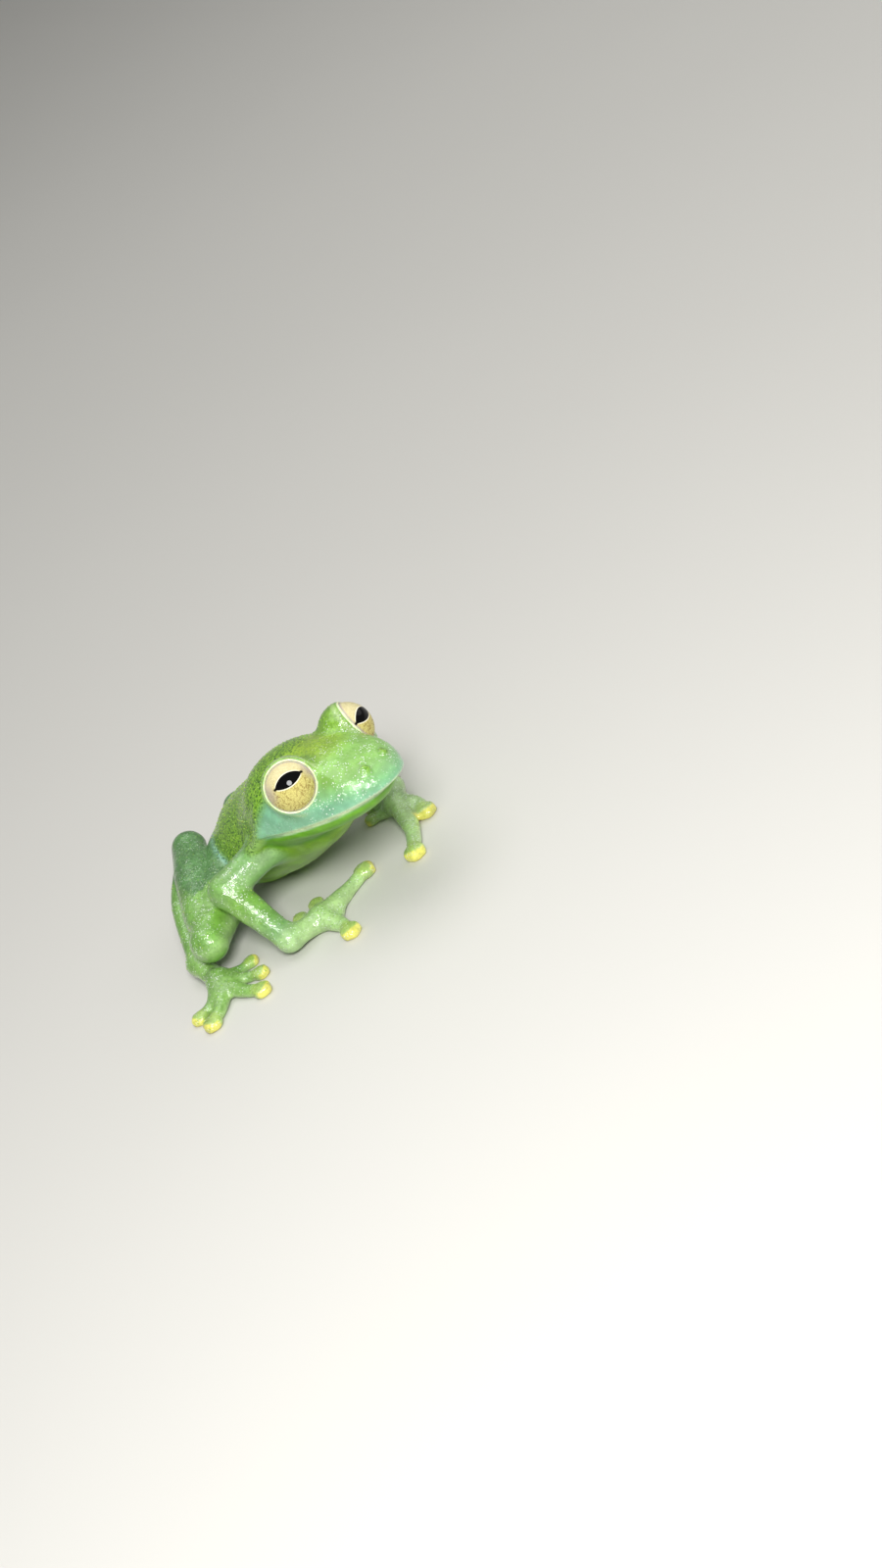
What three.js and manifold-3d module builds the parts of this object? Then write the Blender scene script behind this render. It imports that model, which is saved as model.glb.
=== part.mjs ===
// A glass frog at life size, sitting still with its head raised and its hands and feet spread on the ground.
// Millimetres. +X is the frog's left, +Y its back end, +Z up, and the ground is the plane z = 0.
// Head and trunk are smooth fields of distance turned into faceted skins. The limbs are lofts along curves.
import * as THREE from "three";
import Module from "manifold-3d";

const wasm = await Module();
wasm.setup();

const P = (x, y, z) => new THREE.Vector3(x, y, z);

// Driving dimensions
const GAP = 0.3; // clear distance kept between neighbouring pieces
const SUNK = 0.06; // how deep pads are pressed into the ground before the flats are cut
const BIG = 60; // larger than the whole animal

// The head sits at the point midway between the eyes, turned and leaned a little to the frog's left.
const HEAD = {
  centre: P(0, 0, 10.5),
  yaw: 6, // degrees to the left
  pitch: 3, // degrees up
  roll: -8, // degrees, the left side lower
  crownHalfWidth: 4.5,
  crownBack: 2.7, // the widest station, behind the eyes
  noseReach: 8.35, // from that station to the tip of the snout
  napeReach: 5.2,
  crownTop: 1.15, // the crown above the eyes' centres
  lipDrop: 2.5, // lips below the eyes
  lipSlope: 0.06, // the mouth falls towards its corners
  lipRoll: 0.6, // depth of the upper lip below its widest line
  lipBlend: 0.25, // how softly the lips meet the jaw
  browHeight: 1.2,
  browStart: 1.5, // how far in front of the eyes' line the crown is level
  browRise: 1.0, // how far behind that the crown still rises
  browSlope: 0.68,
  browBlend: 0.8,
  jawInset: 0.5,
  chinInset: 1.1,
  jawSink: 0.42, // the jaw's widest line below the lips'
  jawRise: 1.0,
  jawDepth: 1.6,
  planPower: 2.05, // how square the outline is from above: 2 is an ellipse
  napePower: 2.1, // how square the sections are at the nape
  snoutPower: 2.3, // and at the snout
  snoutStart: -6, // where, from the widest station, the snout's sections begin
};
const EYE = {
  side: 3.3, // half the distance between the eyes
  radius: 1.85,
  domeRadius: 2.06,
  axis: P(0.664, -0.688, 0.292).normalize(), // of the left eye, in the head's frame
  rimDistance: 0.62, // the lid's edge, from the eye's centre along its axis
  edge: 1.5, // radius of the bulging front where it meets the plug behind it
  recess: 0.7, // how deep the plug goes behind the eye's centre
  lidTube: 0.2,
  lidRadius: 2.02,
  domeBlend: 0.7, // how softly the domes over the eyes join the crown
  plugInset: 0.6, // the plug is this much narrower at its floor than at the eye's edge
  openingDepth: 3,
  openingFlare: 1.6,
};
const NOSTRIL = {
  from: P(0.8, -4.4, -1.75), // inside the head, under the left nostril
  outward: P(0.3, -0.2, 0.93),
  radius: 0.22,
  swell: 0.38,
  hole: P(0.16, -0.12, 0.23), // from the swelling's middle to the hole's
};
const MOUTH = { halfWidth: 0.26, halfHeight: 0.14, reach: 97, steps: 29, level: 0.8 };
const TYMPANUM = { side: 2.5, back: 3.0, drop: 1.5, radius: 0.62, halfThickness: 0.16 };

const TRUNK = [
  { centre: P(0, 5.5, 6.15), radii: P(3.9, 4.6, 3.2) }, // chest
  { centre: P(0, 9.4, 4.4), radii: P(4.5, 4.6, 3.3) }, // belly
  { centre: P(0, 12.5, 2.45), radii: P(3.3, 3.1, 2.6) }, // pelvis, which touches the ground
];
const TRUNK_BLEND = 2.2;
const NECK_BLEND = 1.6;
const NECK_PLANE = { point: P(0, 4.9, 8.5), normal: P(0, 0.94, -0.34).normalize() };

// Joints of the right limbs. The left ones stand a little differently.
const RIGHT = {
  shoulder: P(-3.0, 5.6, 5.9),
  elbow: P(-7.4, 7.8, 5.0),
  wrist: P(-7.9, 3.8, 1.1),
  palm: P(-5.5, 3.0, 0.55),
  fingers: [
    { tip: P(-5.3, 5.9, 0), bend: P(-5.2, 4.6, 0), size: 0.82 },
    { tip: P(-3.7, 5.4, 0), bend: P(-4.3, 4.3, 0), size: 0.86 },
    { tip: P(-0.1, 2.9, 0), bend: P(-2.5, 2.85, 0), size: 1.12 },
    { tip: P(-6.2, -0.7, 0), bend: P(-5.6, 1.0, 0), size: 1.05 },
  ],
  hip: P(-2.3, 13.2, 3.2),
  knee: P(-10.3, 8.8, 2.75),
  heel: P(-3.2, 16.2, 4.6),
  instep: P(-7.2, 14.6, 3.0),
  ankle: P(-10.8, 10.9, 1.1),
  sole: P(-11.7, 8.3, 0.5),
  toes: [
    { tip: P(-9.2, 7.1, 0), bend: P(-10.4, 7.4, 0), size: 0.82 },
    { tip: P(-10.2, 5.0, 0), bend: P(-11.1, 6.4, 0), size: 0.86 },
    { tip: P(-11.8, 3.4, 0), bend: P(-12.2, 5.6, 0), size: 0.98 },
    { tip: P(-15.6, 5.8, 0), bend: P(-13.6, 6.4, 0), size: 1.0 },
    { tip: P(-15.2, 7.7, 0), bend: P(-13.7, 7.4, 0), size: 0.9 },
  ],
};
const LEFT = {
  shoulder: P(3.0, 5.6, 5.7),
  elbow: P(7.6, 8.4, 5.1),
  wrist: P(7.0, 5.8, 1.1),
  palm: P(5.9, 4.6, 0.55),
  fingers: [
    { tip: P(4.5, 6.7, 0), bend: P(5.1, 5.7, 0), size: 0.82 },
    { tip: P(5.9, 7.8, 0), bend: P(5.9, 6.2, 0), size: 0.88 },
    { tip: P(1.2, -0.9, 0), bend: P(3.7, 1.4, 0), size: 1.12 },
    { tip: P(5.4, 1.2, 0), bend: P(6.1, 2.7, 0), size: 1.05 },
  ],
  hip: P(2.3, 13.2, 3.2),
  knee: P(9.9, 10.2, 2.8),
  heel: P(2.3, 16.5, 3.4),
  instep: P(5.4, 16.3, 2.2),
  ankle: P(8.4, 14.8, 1.0),
  sole: P(9.7, 13.5, 0.5),
  toes: [
    { tip: P(9.0, 11.4, 0), bend: P(9.5, 12.4, 0), size: 0.82 },
    { tip: P(10.0, 10.7, 0), bend: P(10.0, 12.0, 0), size: 0.86 },
    { tip: P(11.2, 11.1, 0), bend: P(10.7, 12.2, 0), size: 0.98 },
    { tip: P(12.1, 12.7, 0), bend: P(11.1, 13.0, 0), size: 1.0 },
    { tip: P(11.9, 14.4, 0), bend: P(11.0, 13.9, 0), size: 0.92 },
  ],
};

// Half thicknesses of the limbs
const GIRTH = {
  upperArm: [1.45, 1.2, 1.15],
  forearm: [1.2, 1.05, 0.95, 0.8],
  thigh: [1.9, 1.75, 1.35],
  shank: [1.25, 1.5, 1.45, 1.0],
  tarsus: [0.95, 0.8, 0.72, 0.75],
};
const PALM = { half: 0.95, flat: 0.8 };
const SOLE = { half: 0.82, flat: 0.8 };
const DIGIT = {
  root: 0.74,
  waist: 0.45,
  flat: 0.86,
  padHalfWidth: 0.7,
  padHalfHeight: 0.36,
  rootLift: 0.05, // the root above the ground
  bendLift: 0.06,
  sides: 10,
};
const WEB = {
  thickness: 0.5,
  lift: 0.06,
  nearShare: 0.4, // the web starts this share of the way to the bend
  farShare: 0.35, // and could end this share of the way from the bend to the tip
  hollow: 0.42, // how deep its free edge is hollowed
};
const HAND_WEBS = [0.0, 0.45, 1.0]; // how far each web reaches, between one digit and the next
const FOOT_WEBS = [0.45, 0.55, 0.7, 0.8];
const CAP_TURNS = [80, 50, 22]; // degrees at which the rings of a limb's round end lie

// Facet sizes
const HEAD_CELL = 0.5;
const TRUNK_CELL = 0.62;
const OFFSET_CELL = 0.7;
const SHORTEST_EDGE = 0.07;
const THINNEST_FACET = 0.012; // height over the longest side
const LEAST_ALIKE = 0.3; // cosine of the most that closing an edge may turn a facet
const HEAD_BOX = [P(-7.2, -8.6, 2.2), P(7.2, 8.2, 14.2)];
const TRUNK_BOX = [P(-6.6, 1.0, -0.9), P(6.6, 17.4, 12.6)];
const BODY_BOX = [P(-9, -10, -1), P(9, 19, 15)];

const COLOURS = {
  skin: { color: 0x6fbf3f, roughness: 0.35, metalness: 0 },
  limb: { color: 0x78c672, roughness: 0.35, metalness: 0 },
  digit: { color: 0xa9c846, roughness: 0.35, metalness: 0 },
  eye: { color: 0xd9b860, roughness: 0.12, metalness: 0 },
};

// Smooth least of two distances, blended over k
function smoothMin(a, b, k) {
  const h = Math.max(k - Math.abs(a - b), 0) / k;
  return Math.min(a, b) - (h * h * k) / 4;
}

const smoothMax = (a, b, k) => -smoothMin(-a, -b, k);

// Distance to an ellipsoid, measured along the ray from its centre
function ellipsoidDistance(p, { centre, radii }) {
  const q = p.clone().sub(centre);
  const share = Math.hypot(q.x / radii.x, q.y / radii.y, q.z / radii.z);
  if (share < 1e-6) return -Math.min(radii.x, radii.y, radii.z);
  return q.length() * (1 - 1 / share);
}

// The head's own frame: x to its left, y to its back, z up through its crown
const headTurn = new THREE.Matrix4()
  .makeRotationZ(THREE.MathUtils.degToRad(HEAD.yaw))
  .multiply(new THREE.Matrix4().makeRotationX(THREE.MathUtils.degToRad(-HEAD.pitch)))
  .multiply(new THREE.Matrix4().makeRotationY(THREE.MathUtils.degToRad(-HEAD.roll)));
const headPlace = new THREE.Matrix4().makeTranslation(HEAD.centre).multiply(headTurn);
const headInverse = headPlace.clone().invert();

const lipLevel = (y) => -HEAD.lipDrop - HEAD.lipSlope * (y + HEAD.crownBack);

// A flattened egg: rounder in plan than in height, with its own reach to the front, the back, up and down
function eggDistance(q, halfWidth, front, back, up, down) {
  const reach = q.y < 0 ? front : back;
  const plan = (Math.abs(q.x) / halfWidth) ** HEAD.planPower + (Math.abs(q.y) / reach) ** HEAD.planPower;
  const rise = Math.abs(q.z) / (q.z > 0 ? up : down);
  const snout = THREE.MathUtils.smoothstep(q.y / HEAD.snoutStart, 0, 1);
  const power = THREE.MathUtils.lerp(HEAD.napePower, HEAD.snoutPower, snout);
  const share = (plan ** (power / HEAD.planPower) + rise ** power) ** (1 / power);
  if (share < 1e-6) return -1;
  return q.length() * (1 - 1 / share);
}

// The head in the frog's frame, with the domes over the eyes and the lips, before the small features are cut
function headDistance(p) {
  const q = p.clone().applyMatrix4(headInverse);
  const lip = lipLevel(q.y);
  const crown = eggDistance(
    P(q.x, q.y - HEAD.crownBack, q.z - lip),
    HEAD.crownHalfWidth,
    HEAD.noseReach,
    HEAD.napeReach,
    HEAD.crownTop - lip,
    HEAD.lipRoll,
  );
  const brow = q.z - HEAD.browHeight - HEAD.browSlope * Math.min(q.y + HEAD.browStart, HEAD.browRise);
  const jaw = eggDistance(
    P(q.x, q.y - HEAD.crownBack, q.z - lip + HEAD.jawSink),
    HEAD.crownHalfWidth - HEAD.jawInset,
    HEAD.noseReach - HEAD.chinInset,
    HEAD.napeReach,
    HEAD.jawRise,
    HEAD.jawDepth,
  );
  let d = smoothMin(smoothMax(crown, brow, HEAD.browBlend), jaw, HEAD.lipBlend);
  for (const side of [-1, 1]) {
    const eye = P(side * EYE.side, 0, 0);
    d = smoothMin(d, q.distanceTo(eye) - EYE.domeRadius, EYE.domeBlend);
  }
  return d;
}

function trunkDistance(p) {
  return TRUNK.map((blob) => ellipsoidDistance(p, blob)).reduce((a, b) => smoothMin(a, b, TRUNK_BLEND));
}

const bodyDistance = (p) => smoothMin(headDistance(p), trunkDistance(p), NECK_BLEND);

// Closed surface where a field is zero: one vertex in each cell that it crosses, drawn onto the surface
function skinOf(field, [low, high], cell) {
  const count = ["x", "y", "z"].map((a) => Math.ceil((high[a] - low[a]) / cell) + 1);
  const [nx, ny, nz] = count;
  const at = (i, j, k) => i + nx * (j + ny * k);
  const values = new Float64Array(nx * ny * nz);
  const corner = (i, j, k) => P(low.x + i * cell, low.y + j * cell, low.z + k * cell);
  for (let k = 0; k < nz; k++)
    for (let j = 0; j < ny; j++)
      for (let i = 0; i < nx; i++) {
        const edge = [i, j, k].some((n, a) => n === 0 || n === count[a] - 1);
        const value = field(corner(i, j, k));
        values[at(i, j, k)] = edge ? Math.max(value, cell * 0.5) : value;
      }
  const cellVertex = new Map();
  const points = [];
  const corners = [0, 1, 2, 3, 4, 5, 6, 7].map((n) => [n & 1, (n >> 1) & 1, n >> 2]);
  for (let k = 0; k < nz - 1; k++)
    for (let j = 0; j < ny - 1; j++)
      for (let i = 0; i < nx - 1; i++) {
        const mean = P(0, 0, 0);
        let crossings = 0;
        for (let a = 0; a < 8; a++)
          for (const bit of [1, 2, 4]) {
            const b = a | bit;
            if (b === a) continue;
            const [ai, aj, ak] = corners[a];
            const [bi, bj, bk] = corners[b];
            const va = values[at(i + ai, j + aj, k + ak)];
            const vb = values[at(i + bi, j + bj, k + bk)];
            if (va < 0 === vb < 0) continue;
            const from = corner(i + ai, j + aj, k + ak);
            mean.add(from.lerp(corner(i + bi, j + bj, k + bk), va / (va - vb)));
            crossings++;
          }
        if (!crossings) continue;
        cellVertex.set(at(i, j, k), points.length);
        points.push(mean.divideScalar(crossings));
      }
  drawOnto(field, points, cell);
  const faces = [];
  const axes = [
    [1, 0, 0],
    [0, 1, 0],
    [0, 0, 1],
  ];
  for (let k = 0; k < nz - 1; k++)
    for (let j = 0; j < ny - 1; j++)
      for (let i = 0; i < nx - 1; i++)
        axes.forEach((axis, n) => {
          const here = values[at(i, j, k)] < 0;
          const next = values[at(i + axis[0], j + axis[1], k + axis[2])] < 0;
          if (here === next) return;
          const u = axes[(n + 1) % 3];
          const v = axes[(n + 2) % 3];
          const ring = [
            [0, 0],
            [1, 0],
            [1, 1],
            [0, 1],
          ].map(([s, t]) => {
            const [x, y, z] = [i, j, k].map((c, a) => c - s * u[a] - t * v[a]);
            return cellVertex.get(at(x, y, z));
          });
          if (!here) ring.reverse();
          faces.push(ring[0], ring[1], ring[2], ring[0], ring[2], ring[3]);
        });
  return solidFrom(points, faces);
}

// Moves points along the field's slope until they lie on its surface
function drawOnto(field, points, cell) {
  const step = cell * 0.1;
  for (const p of points)
    for (let pass = 0; pass < 2; pass++) {
      const value = field(p);
      const slope = P(
        field(p.clone().add(P(step, 0, 0))) - field(p.clone().add(P(-step, 0, 0))),
        field(p.clone().add(P(0, step, 0))) - field(p.clone().add(P(0, -step, 0))),
        field(p.clone().add(P(0, 0, step))) - field(p.clone().add(P(0, 0, -step))),
      ).divideScalar(2 * step);
      const move = slope.multiplyScalar(-value / Math.max(slope.lengthSq(), 0.05));
      p.add(move.clampLength(0, cell * 0.3));
    }
}

// A closed solid from points and triangles, turned to face out
function solidFrom(points, faces) {
  const build = (triangles) =>
    new wasm.Manifold(
      new wasm.Mesh({
        numProp: 3,
        vertProperties: Float32Array.from(points.flatMap((p) => [p.x, p.y, p.z])),
        triVerts: Uint32Array.from(triangles),
      }),
    );
  const made = build(faces);
  if (made.volume() > 0) return made;
  const turned = faces.map((_, n) => faces[n - (n % 3) + [0, 2, 1][n % 3]]);
  return build(turned);
}

// A closed solid from any three.js geometry, placed by a matrix
function solidOf(geometry, matrix = new THREE.Matrix4()) {
  const flat = geometry.index ? geometry.toNonIndexed() : geometry;
  const place = flat.getAttribute("position");
  const points = [];
  const known = new Map();
  const faces = [];
  for (let n = 0; n < place.count; n++) {
    const p = new THREE.Vector3().fromBufferAttribute(place, n).applyMatrix4(matrix);
    const key = [p.x, p.y, p.z].map((c) => Math.round(c * 1e4)).join();
    if (!known.has(key)) {
      known.set(key, points.length);
      points.push(p);
    }
    faces.push(known.get(key));
  }
  const kept = [];
  for (let n = 0; n < faces.length; n += 3) {
    const [a, b, c] = faces.slice(n, n + 3);
    if (a !== b && b !== c && a !== c) kept.push(a, b, c);
  }
  return solidFrom(points, kept);
}

// A loft through rings: each station has a centre and two half axes, and both ends close on a point
function loft(stations, sides) {
  const points = [stations[0].centre.clone()];
  for (const { centre, wide, high } of stations)
    for (let n = 0; n < sides; n++) {
      const angle = (2 * Math.PI * n) / sides;
      points.push(
        centre.clone().addScaledVector(wide, Math.cos(angle)).addScaledVector(high, Math.sin(angle)),
      );
    }
  points.push(stations[stations.length - 1].centre.clone());
  const faces = [];
  const last = points.length - 1;
  const ring = (s, n) => 1 + s * sides + (n % sides);
  for (let n = 0; n < sides; n++) {
    faces.push(0, ring(0, n + 1), ring(0, n));
    faces.push(last, ring(stations.length - 1, n), ring(stations.length - 1, n + 1));
    for (let s = 0; s < stations.length - 1; s++) {
      faces.push(ring(s, n), ring(s, n + 1), ring(s + 1, n + 1));
      faces.push(ring(s, n), ring(s + 1, n + 1), ring(s + 1, n));
    }
  }
  return solidFrom(points, faces);
}

// A value read from a short list at a share of the way along it
function along(list, share) {
  const place = share * (list.length - 1);
  const n = Math.min(Math.floor(place), list.length - 2);
  const t = THREE.MathUtils.smoothstep(place - n, 0, 1);
  return list[n] + (list[n + 1] - list[n]) * t;
}

// A limb of flesh along a curve, with round ends that reach past its first and last point
function limb(points, girths, { rings = 9, sides = 16, flat = 1 } = {}) {
  const curve = new THREE.CatmullRomCurve3(points, false, "centripetal");
  const stations = [];
  const add = (share, girth, shift) => {
    const tangent = curve.getTangentAt(share);
    const wide = tangent.clone().cross(P(0, 0, 1)).normalize();
    const high = wide.clone().cross(tangent).normalize();
    stations.push({
      centre: curve.getPointAt(share).addScaledVector(tangent, shift),
      wide: wide.multiplyScalar(girth),
      high: high.multiplyScalar(girth * flat),
    });
  };
  const first = girths[0];
  const end = girths[girths.length - 1];
  for (const turn of CAP_TURNS) {
    const a = THREE.MathUtils.degToRad(turn);
    add(0, first * Math.cos(a), -first * Math.sin(a));
  }
  for (let n = 0; n < rings; n++) add(n / (rings - 1), along(girths, n / (rings - 1)), 0);
  for (const turn of CAP_TURNS.toReversed()) {
    const a = THREE.MathUtils.degToRad(turn);
    add(1, end * Math.cos(a), end * Math.sin(a));
  }
  return loft(stations, sides);
}

// A finger or toe from the palm or sole to its broad, blunt pad, lying on the ground
function digit(root, { tip, bend, size }) {
  const { root: base, waist, flat, padHalfWidth, padHalfHeight } = DIGIT;
  const curve = new THREE.CatmullRomCurve3([
    P(root.x, root.y, base * flat * size + DIGIT.rootLift),
    P(bend.x, bend.y, waist * flat * size + DIGIT.bendLift - SUNK),
    P(tip.x, tip.y, padHalfHeight * size - SUNK),
  ]);
  const profile = [
    [0, base, base * flat],
    [0.22, base * 0.9, base * flat * 0.9],
    [0.45, waist * 1.12, waist * flat * 1.1],
    [0.66, waist, waist * flat],
    [0.8, waist * 1.25, waist * flat],
    [0.9, padHalfWidth * 0.95, padHalfHeight],
    [0.97, padHalfWidth, padHalfHeight * 0.92],
    [1, padHalfWidth * 0.78, padHalfHeight * 0.55],
  ];
  const stations = profile.map(([share, halfWidth, halfHeight]) => {
    const tangent = curve.getTangentAt(share);
    const wide = tangent.clone().cross(P(0, 0, 1)).normalize();
    return {
      centre: curve.getPointAt(share),
      wide: wide.clone().multiplyScalar(halfWidth * size),
      high: wide.clone().cross(tangent).multiplyScalar(halfHeight * size),
    };
  });
  return loft(stations, DIGIT.sides);
}

// A web of skin between two digits, with a hollowed free edge
function web(root, a, b, share) {
  const on = (d) => {
    const far = d.bend.clone().lerp(d.tip, WEB.farShare);
    return root.clone().lerp(d.bend, WEB.nearShare).lerp(far, share);
  };
  const [from, to] = [on(a), on(b)];
  const deep = from.clone().lerp(to, 0.5).lerp(root, WEB.hollow);
  const shape = new THREE.Shape();
  shape.moveTo(root.x, root.y);
  shape.lineTo(from.x, from.y);
  shape.quadraticCurveTo(deep.x, deep.y, to.x, to.y);
  shape.closePath();
  const plate = new THREE.ExtrudeGeometry(shape, {
    depth: WEB.thickness,
    bevelEnabled: false,
    curveSegments: 5,
  });
  return solidOf(plate, new THREE.Matrix4().makeTranslation(0, 0, WEB.lift));
}

// A hand or foot: a flattened palm or sole, its digits and the webs between them
function extremity(root, back, digits, webShares, { half, flat }) {
  const middle = back.clone().lerp(root, 0.5);
  let made = limb([back, middle, root], [half, half * 0.95, half * 0.9], { rings: 5, sides: 14, flat });
  for (const d of digits) made = made.add(digit(root, d));
  webShares.forEach((share, n) => {
    if (share > 0) made = made.add(web(root, digits[n], digits[n + 1], share));
  });
  return made;
}

// The half space on the side of a plane that its normal points away from, as a box
function slab(point, normal, shift) {
  const turn = new THREE.Quaternion().setFromUnitVectors(P(0, 0, 1), normal.clone().normalize());
  const centre = point.clone().addScaledVector(normal.clone().normalize(), shift - BIG / 2);
  const place = new THREE.Matrix4().compose(centre, turn, P(1, 1, 1));
  return solidOf(new THREE.BoxGeometry(BIG, BIG, BIG), place);
}

// Parts two solids at a plane, leaving the gap between them: the first lies behind the normal
function part(first, second, point, normal) {
  return [
    first.intersect(slab(point, normal, -GAP / 2)),
    second.intersect(slab(point, normal.clone().negate(), -GAP / 2)),
  ];
}

// Everything above the ground, and only the largest closed piece of it
function settled(solid) {
  const above = solid.intersect(slab(P(0, 0, 0), P(0, 0, -1), 0));
  const pieces = above.decompose().sort((a, b) => b.volume() - a.volume());
  return cleaned(pieces[0]);
}

const areaNormal = (a, b, c) => b.clone().sub(a).cross(c.clone().sub(a));

// The same solid with the shortest edges closed up and the thinnest facets turned, as cuts leave many
function cleaned(solid) {
  const { vertProperties, numProp, numVert, triVerts } = solid.getMesh();
  const points = [];
  for (let v = 0; v < numVert; v++) points.push(P(...vertProperties.subarray(v * numProp, v * numProp + 3)));
  const faces = [];
  const around = points.map(() => new Set());
  for (let n = 0; n < triVerts.length; n += 3) {
    const face = Array.from(triVerts.subarray(n, n + 3));
    face.forEach((v) => around[v].add(faces.length));
    faces.push(face);
  }
  const ring = (v) => new Set([...around[v]].flatMap((f) => faces[f]).filter((w) => w !== v));
  const shared = (a, b) => [...around[a]].filter((f) => around[b].has(f));
  const normalOf = (face) => areaNormal(...face.map((v) => points[v]));
  for (let pass = 0; pass < 6; pass++) {
    let changed = closeEdges();
    changed = turnNeedles() || changed;
    if (!changed) break;
  }

  function closeEdges() {
    let changed = false;
    for (let f = 0; f < faces.length; f++)
      for (let n = 0; n < 3 && faces[f]; n++) {
        const [a, b] = [faces[f][n], faces[f][(n + 1) % 3]];
        if (points[a].distanceTo(points[b]) < SHORTEST_EDGE && closeEdge(a, b)) changed = true;
      }
    return changed;
  }

  function closeEdge(a, b) {
    const gone = shared(a, b);
    const ringB = ring(b);
    const common = [...ring(a)].filter((v) => ringB.has(v));
    if (gone.length !== 2 || common.length !== 2) return false;
    const grounded = [a, b].find((v) => Math.abs(points[v].z) < 1e-4);
    const target = grounded === undefined ? points[a].clone().lerp(points[b], 0.5) : points[grounded].clone();
    for (const v of [a, b])
      for (const f of around[v]) {
        if (gone.includes(f)) continue;
        const before = normalOf(faces[f]);
        const after = areaNormal(...faces[f].map((w) => (w === v ? target : points[w])));
        const alike = before.dot(after) / (before.length() * after.length());
        if (before.length() > 1e-4 && alike < LEAST_ALIKE) return false;
      }
    points[a].copy(target);
    for (const f of gone) {
      faces[f].forEach((v) => around[v].delete(f));
      faces[f] = null;
    }
    for (const f of around[b]) {
      faces[f] = faces[f].map((v) => (v === b ? a : v));
      around[a].add(f);
    }
    around[b].clear();
    return true;
  }

  function turnNeedles() {
    let changed = false;
    for (let f = 0; f < faces.length; f++) {
      if (!faces[f]) continue;
      const lengths = faces[f].map((v, n) => points[v].distanceTo(points[faces[f][(n + 1) % 3]]));
      const n = lengths.indexOf(Math.max(...lengths));
      if (normalOf(faces[f]).length() / lengths[n] > THINNEST_FACET) continue;
      if (turnEdge(f, faces[f][n], faces[f][(n + 1) % 3], faces[f][(n + 2) % 3])) changed = true;
    }
    return changed;
  }

  function turnEdge(f, a, b, apex) {
    const other = shared(a, b).find((g) => g !== f);
    const far = other === undefined ? undefined : faces[other].find((v) => v !== a && v !== b);
    if (far === undefined || ring(apex).has(far)) return false;
    const turned = [
      [apex, a, far],
      [apex, far, b],
    ];
    const flat = normalOf(faces[other]);
    if (turned.some((face) => normalOf(face).dot(flat) <= 0)) return false;
    for (const g of [f, other]) faces[g].forEach((v) => around[v].delete(g));
    [f, other].forEach((g, n) => {
      faces[g] = turned[n];
      turned[n].forEach((v) => around[v].add(g));
    });
    return true;
  }

  return solidFrom(...packed(points, faces.filter(Boolean)));
}

// Only the points that faces use, with the faces renumbered to them
function packed(points, faces) {
  const number = new Map();
  const kept = [];
  for (const v of faces.flat())
    if (!number.has(v)) {
      number.set(v, kept.length);
      kept.push(points[v]);
    }
  return [kept, faces.flat().map((v) => number.get(v))];
}

function meshFrom(name, solid, colour) {
  const { vertProperties, numProp, numVert, triVerts } = solid.getMesh();
  const flat = new Float32Array(numVert * 3);
  for (let n = 0; n < numVert; n++)
    flat.set(vertProperties.subarray(n * numProp, n * numProp + 3), n * 3);
  const geometry = new THREE.BufferGeometry();
  geometry.setAttribute("position", new THREE.BufferAttribute(flat, 3));
  geometry.setIndex(new THREE.BufferAttribute(Uint32Array.from(triVerts), 1));
  const mesh = new THREE.Mesh(geometry, new THREE.MeshStandardMaterial(COLOURS[colour]));
  mesh.name = name;
  return mesh;
}

// Where the eye's own frame sits: z along its line of sight
function eyePlace(side) {
  const axis = P(side * EYE.axis.x, EYE.axis.y, EYE.axis.z);
  const turn = new THREE.Quaternion().setFromUnitVectors(P(0, 0, 1), axis);
  const place = new THREE.Matrix4().compose(P(side * EYE.side, 0, 0), turn, P(1, 1, 1));
  return headPlace.clone().multiply(place);
}

// A lens-shaped eye: a bulging front on a short plug, all grown by a margin for its seat
function eyeSolid(side, margin) {
  const radius = EYE.radius + margin;
  const edge = EYE.edge + margin;
  const floor = -EYE.recess - margin;
  const profile = [new THREE.Vector2(0, floor), new THREE.Vector2(edge - EYE.plugInset, floor)];
  const start = Math.asin(Math.min(1, edge / radius));
  const rings = 6;
  for (let n = 0; n < rings; n++) {
    const a = start * (1 - n / rings);
    profile.push(new THREE.Vector2(radius * Math.sin(a), radius * Math.cos(a)));
  }
  profile.push(new THREE.Vector2(0, radius));
  return solidOf(new THREE.LatheGeometry(profile, 24).rotateX(Math.PI / 2), eyePlace(side));
}

// The swelling of the lid round the eye, and the clear way in front of it
function lidRing(side) {
  const ring = new THREE.TorusGeometry(EYE.lidRadius, EYE.lidTube, 6, 24);
  const lift = new THREE.Matrix4().makeTranslation(0, 0, EYE.rimDistance - EYE.lidTube / 2);
  return solidOf(ring, eyePlace(side).multiply(lift));
}

function eyeOpening(side) {
  const { lidRadius, openingFlare, openingDepth } = EYE;
  const cone = new THREE.CylinderGeometry(lidRadius + openingFlare, lidRadius, openingDepth, 24);
  const lift = new THREE.Matrix4()
    .makeTranslation(0, 0, EYE.rimDistance + openingDepth / 2)
    .multiply(new THREE.Matrix4().makeRotationX(Math.PI / 2));
  return solidOf(cone, eyePlace(side).multiply(lift));
}

function ball(centre, radii, segments = 12) {
  const place = headPlace.clone().multiply(new THREE.Matrix4().makeTranslation(centre));
  const size = new THREE.Matrix4().makeScale(radii.x, radii.y, radii.z);
  const sphere = new THREE.SphereGeometry(1, segments, Math.max(6, segments / 2));
  return solidOf(sphere, place.multiply(size));
}

// The point where the head's surface lies on a ray from inside it, in the head's frame
function onHead(from, direction) {
  const p = from.clone();
  for (let n = 0; n < 60; n++) {
    const d = headDistance(p.clone().applyMatrix4(headPlace));
    p.addScaledVector(direction, -d * 0.6);
  }
  return p;
}

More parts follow.
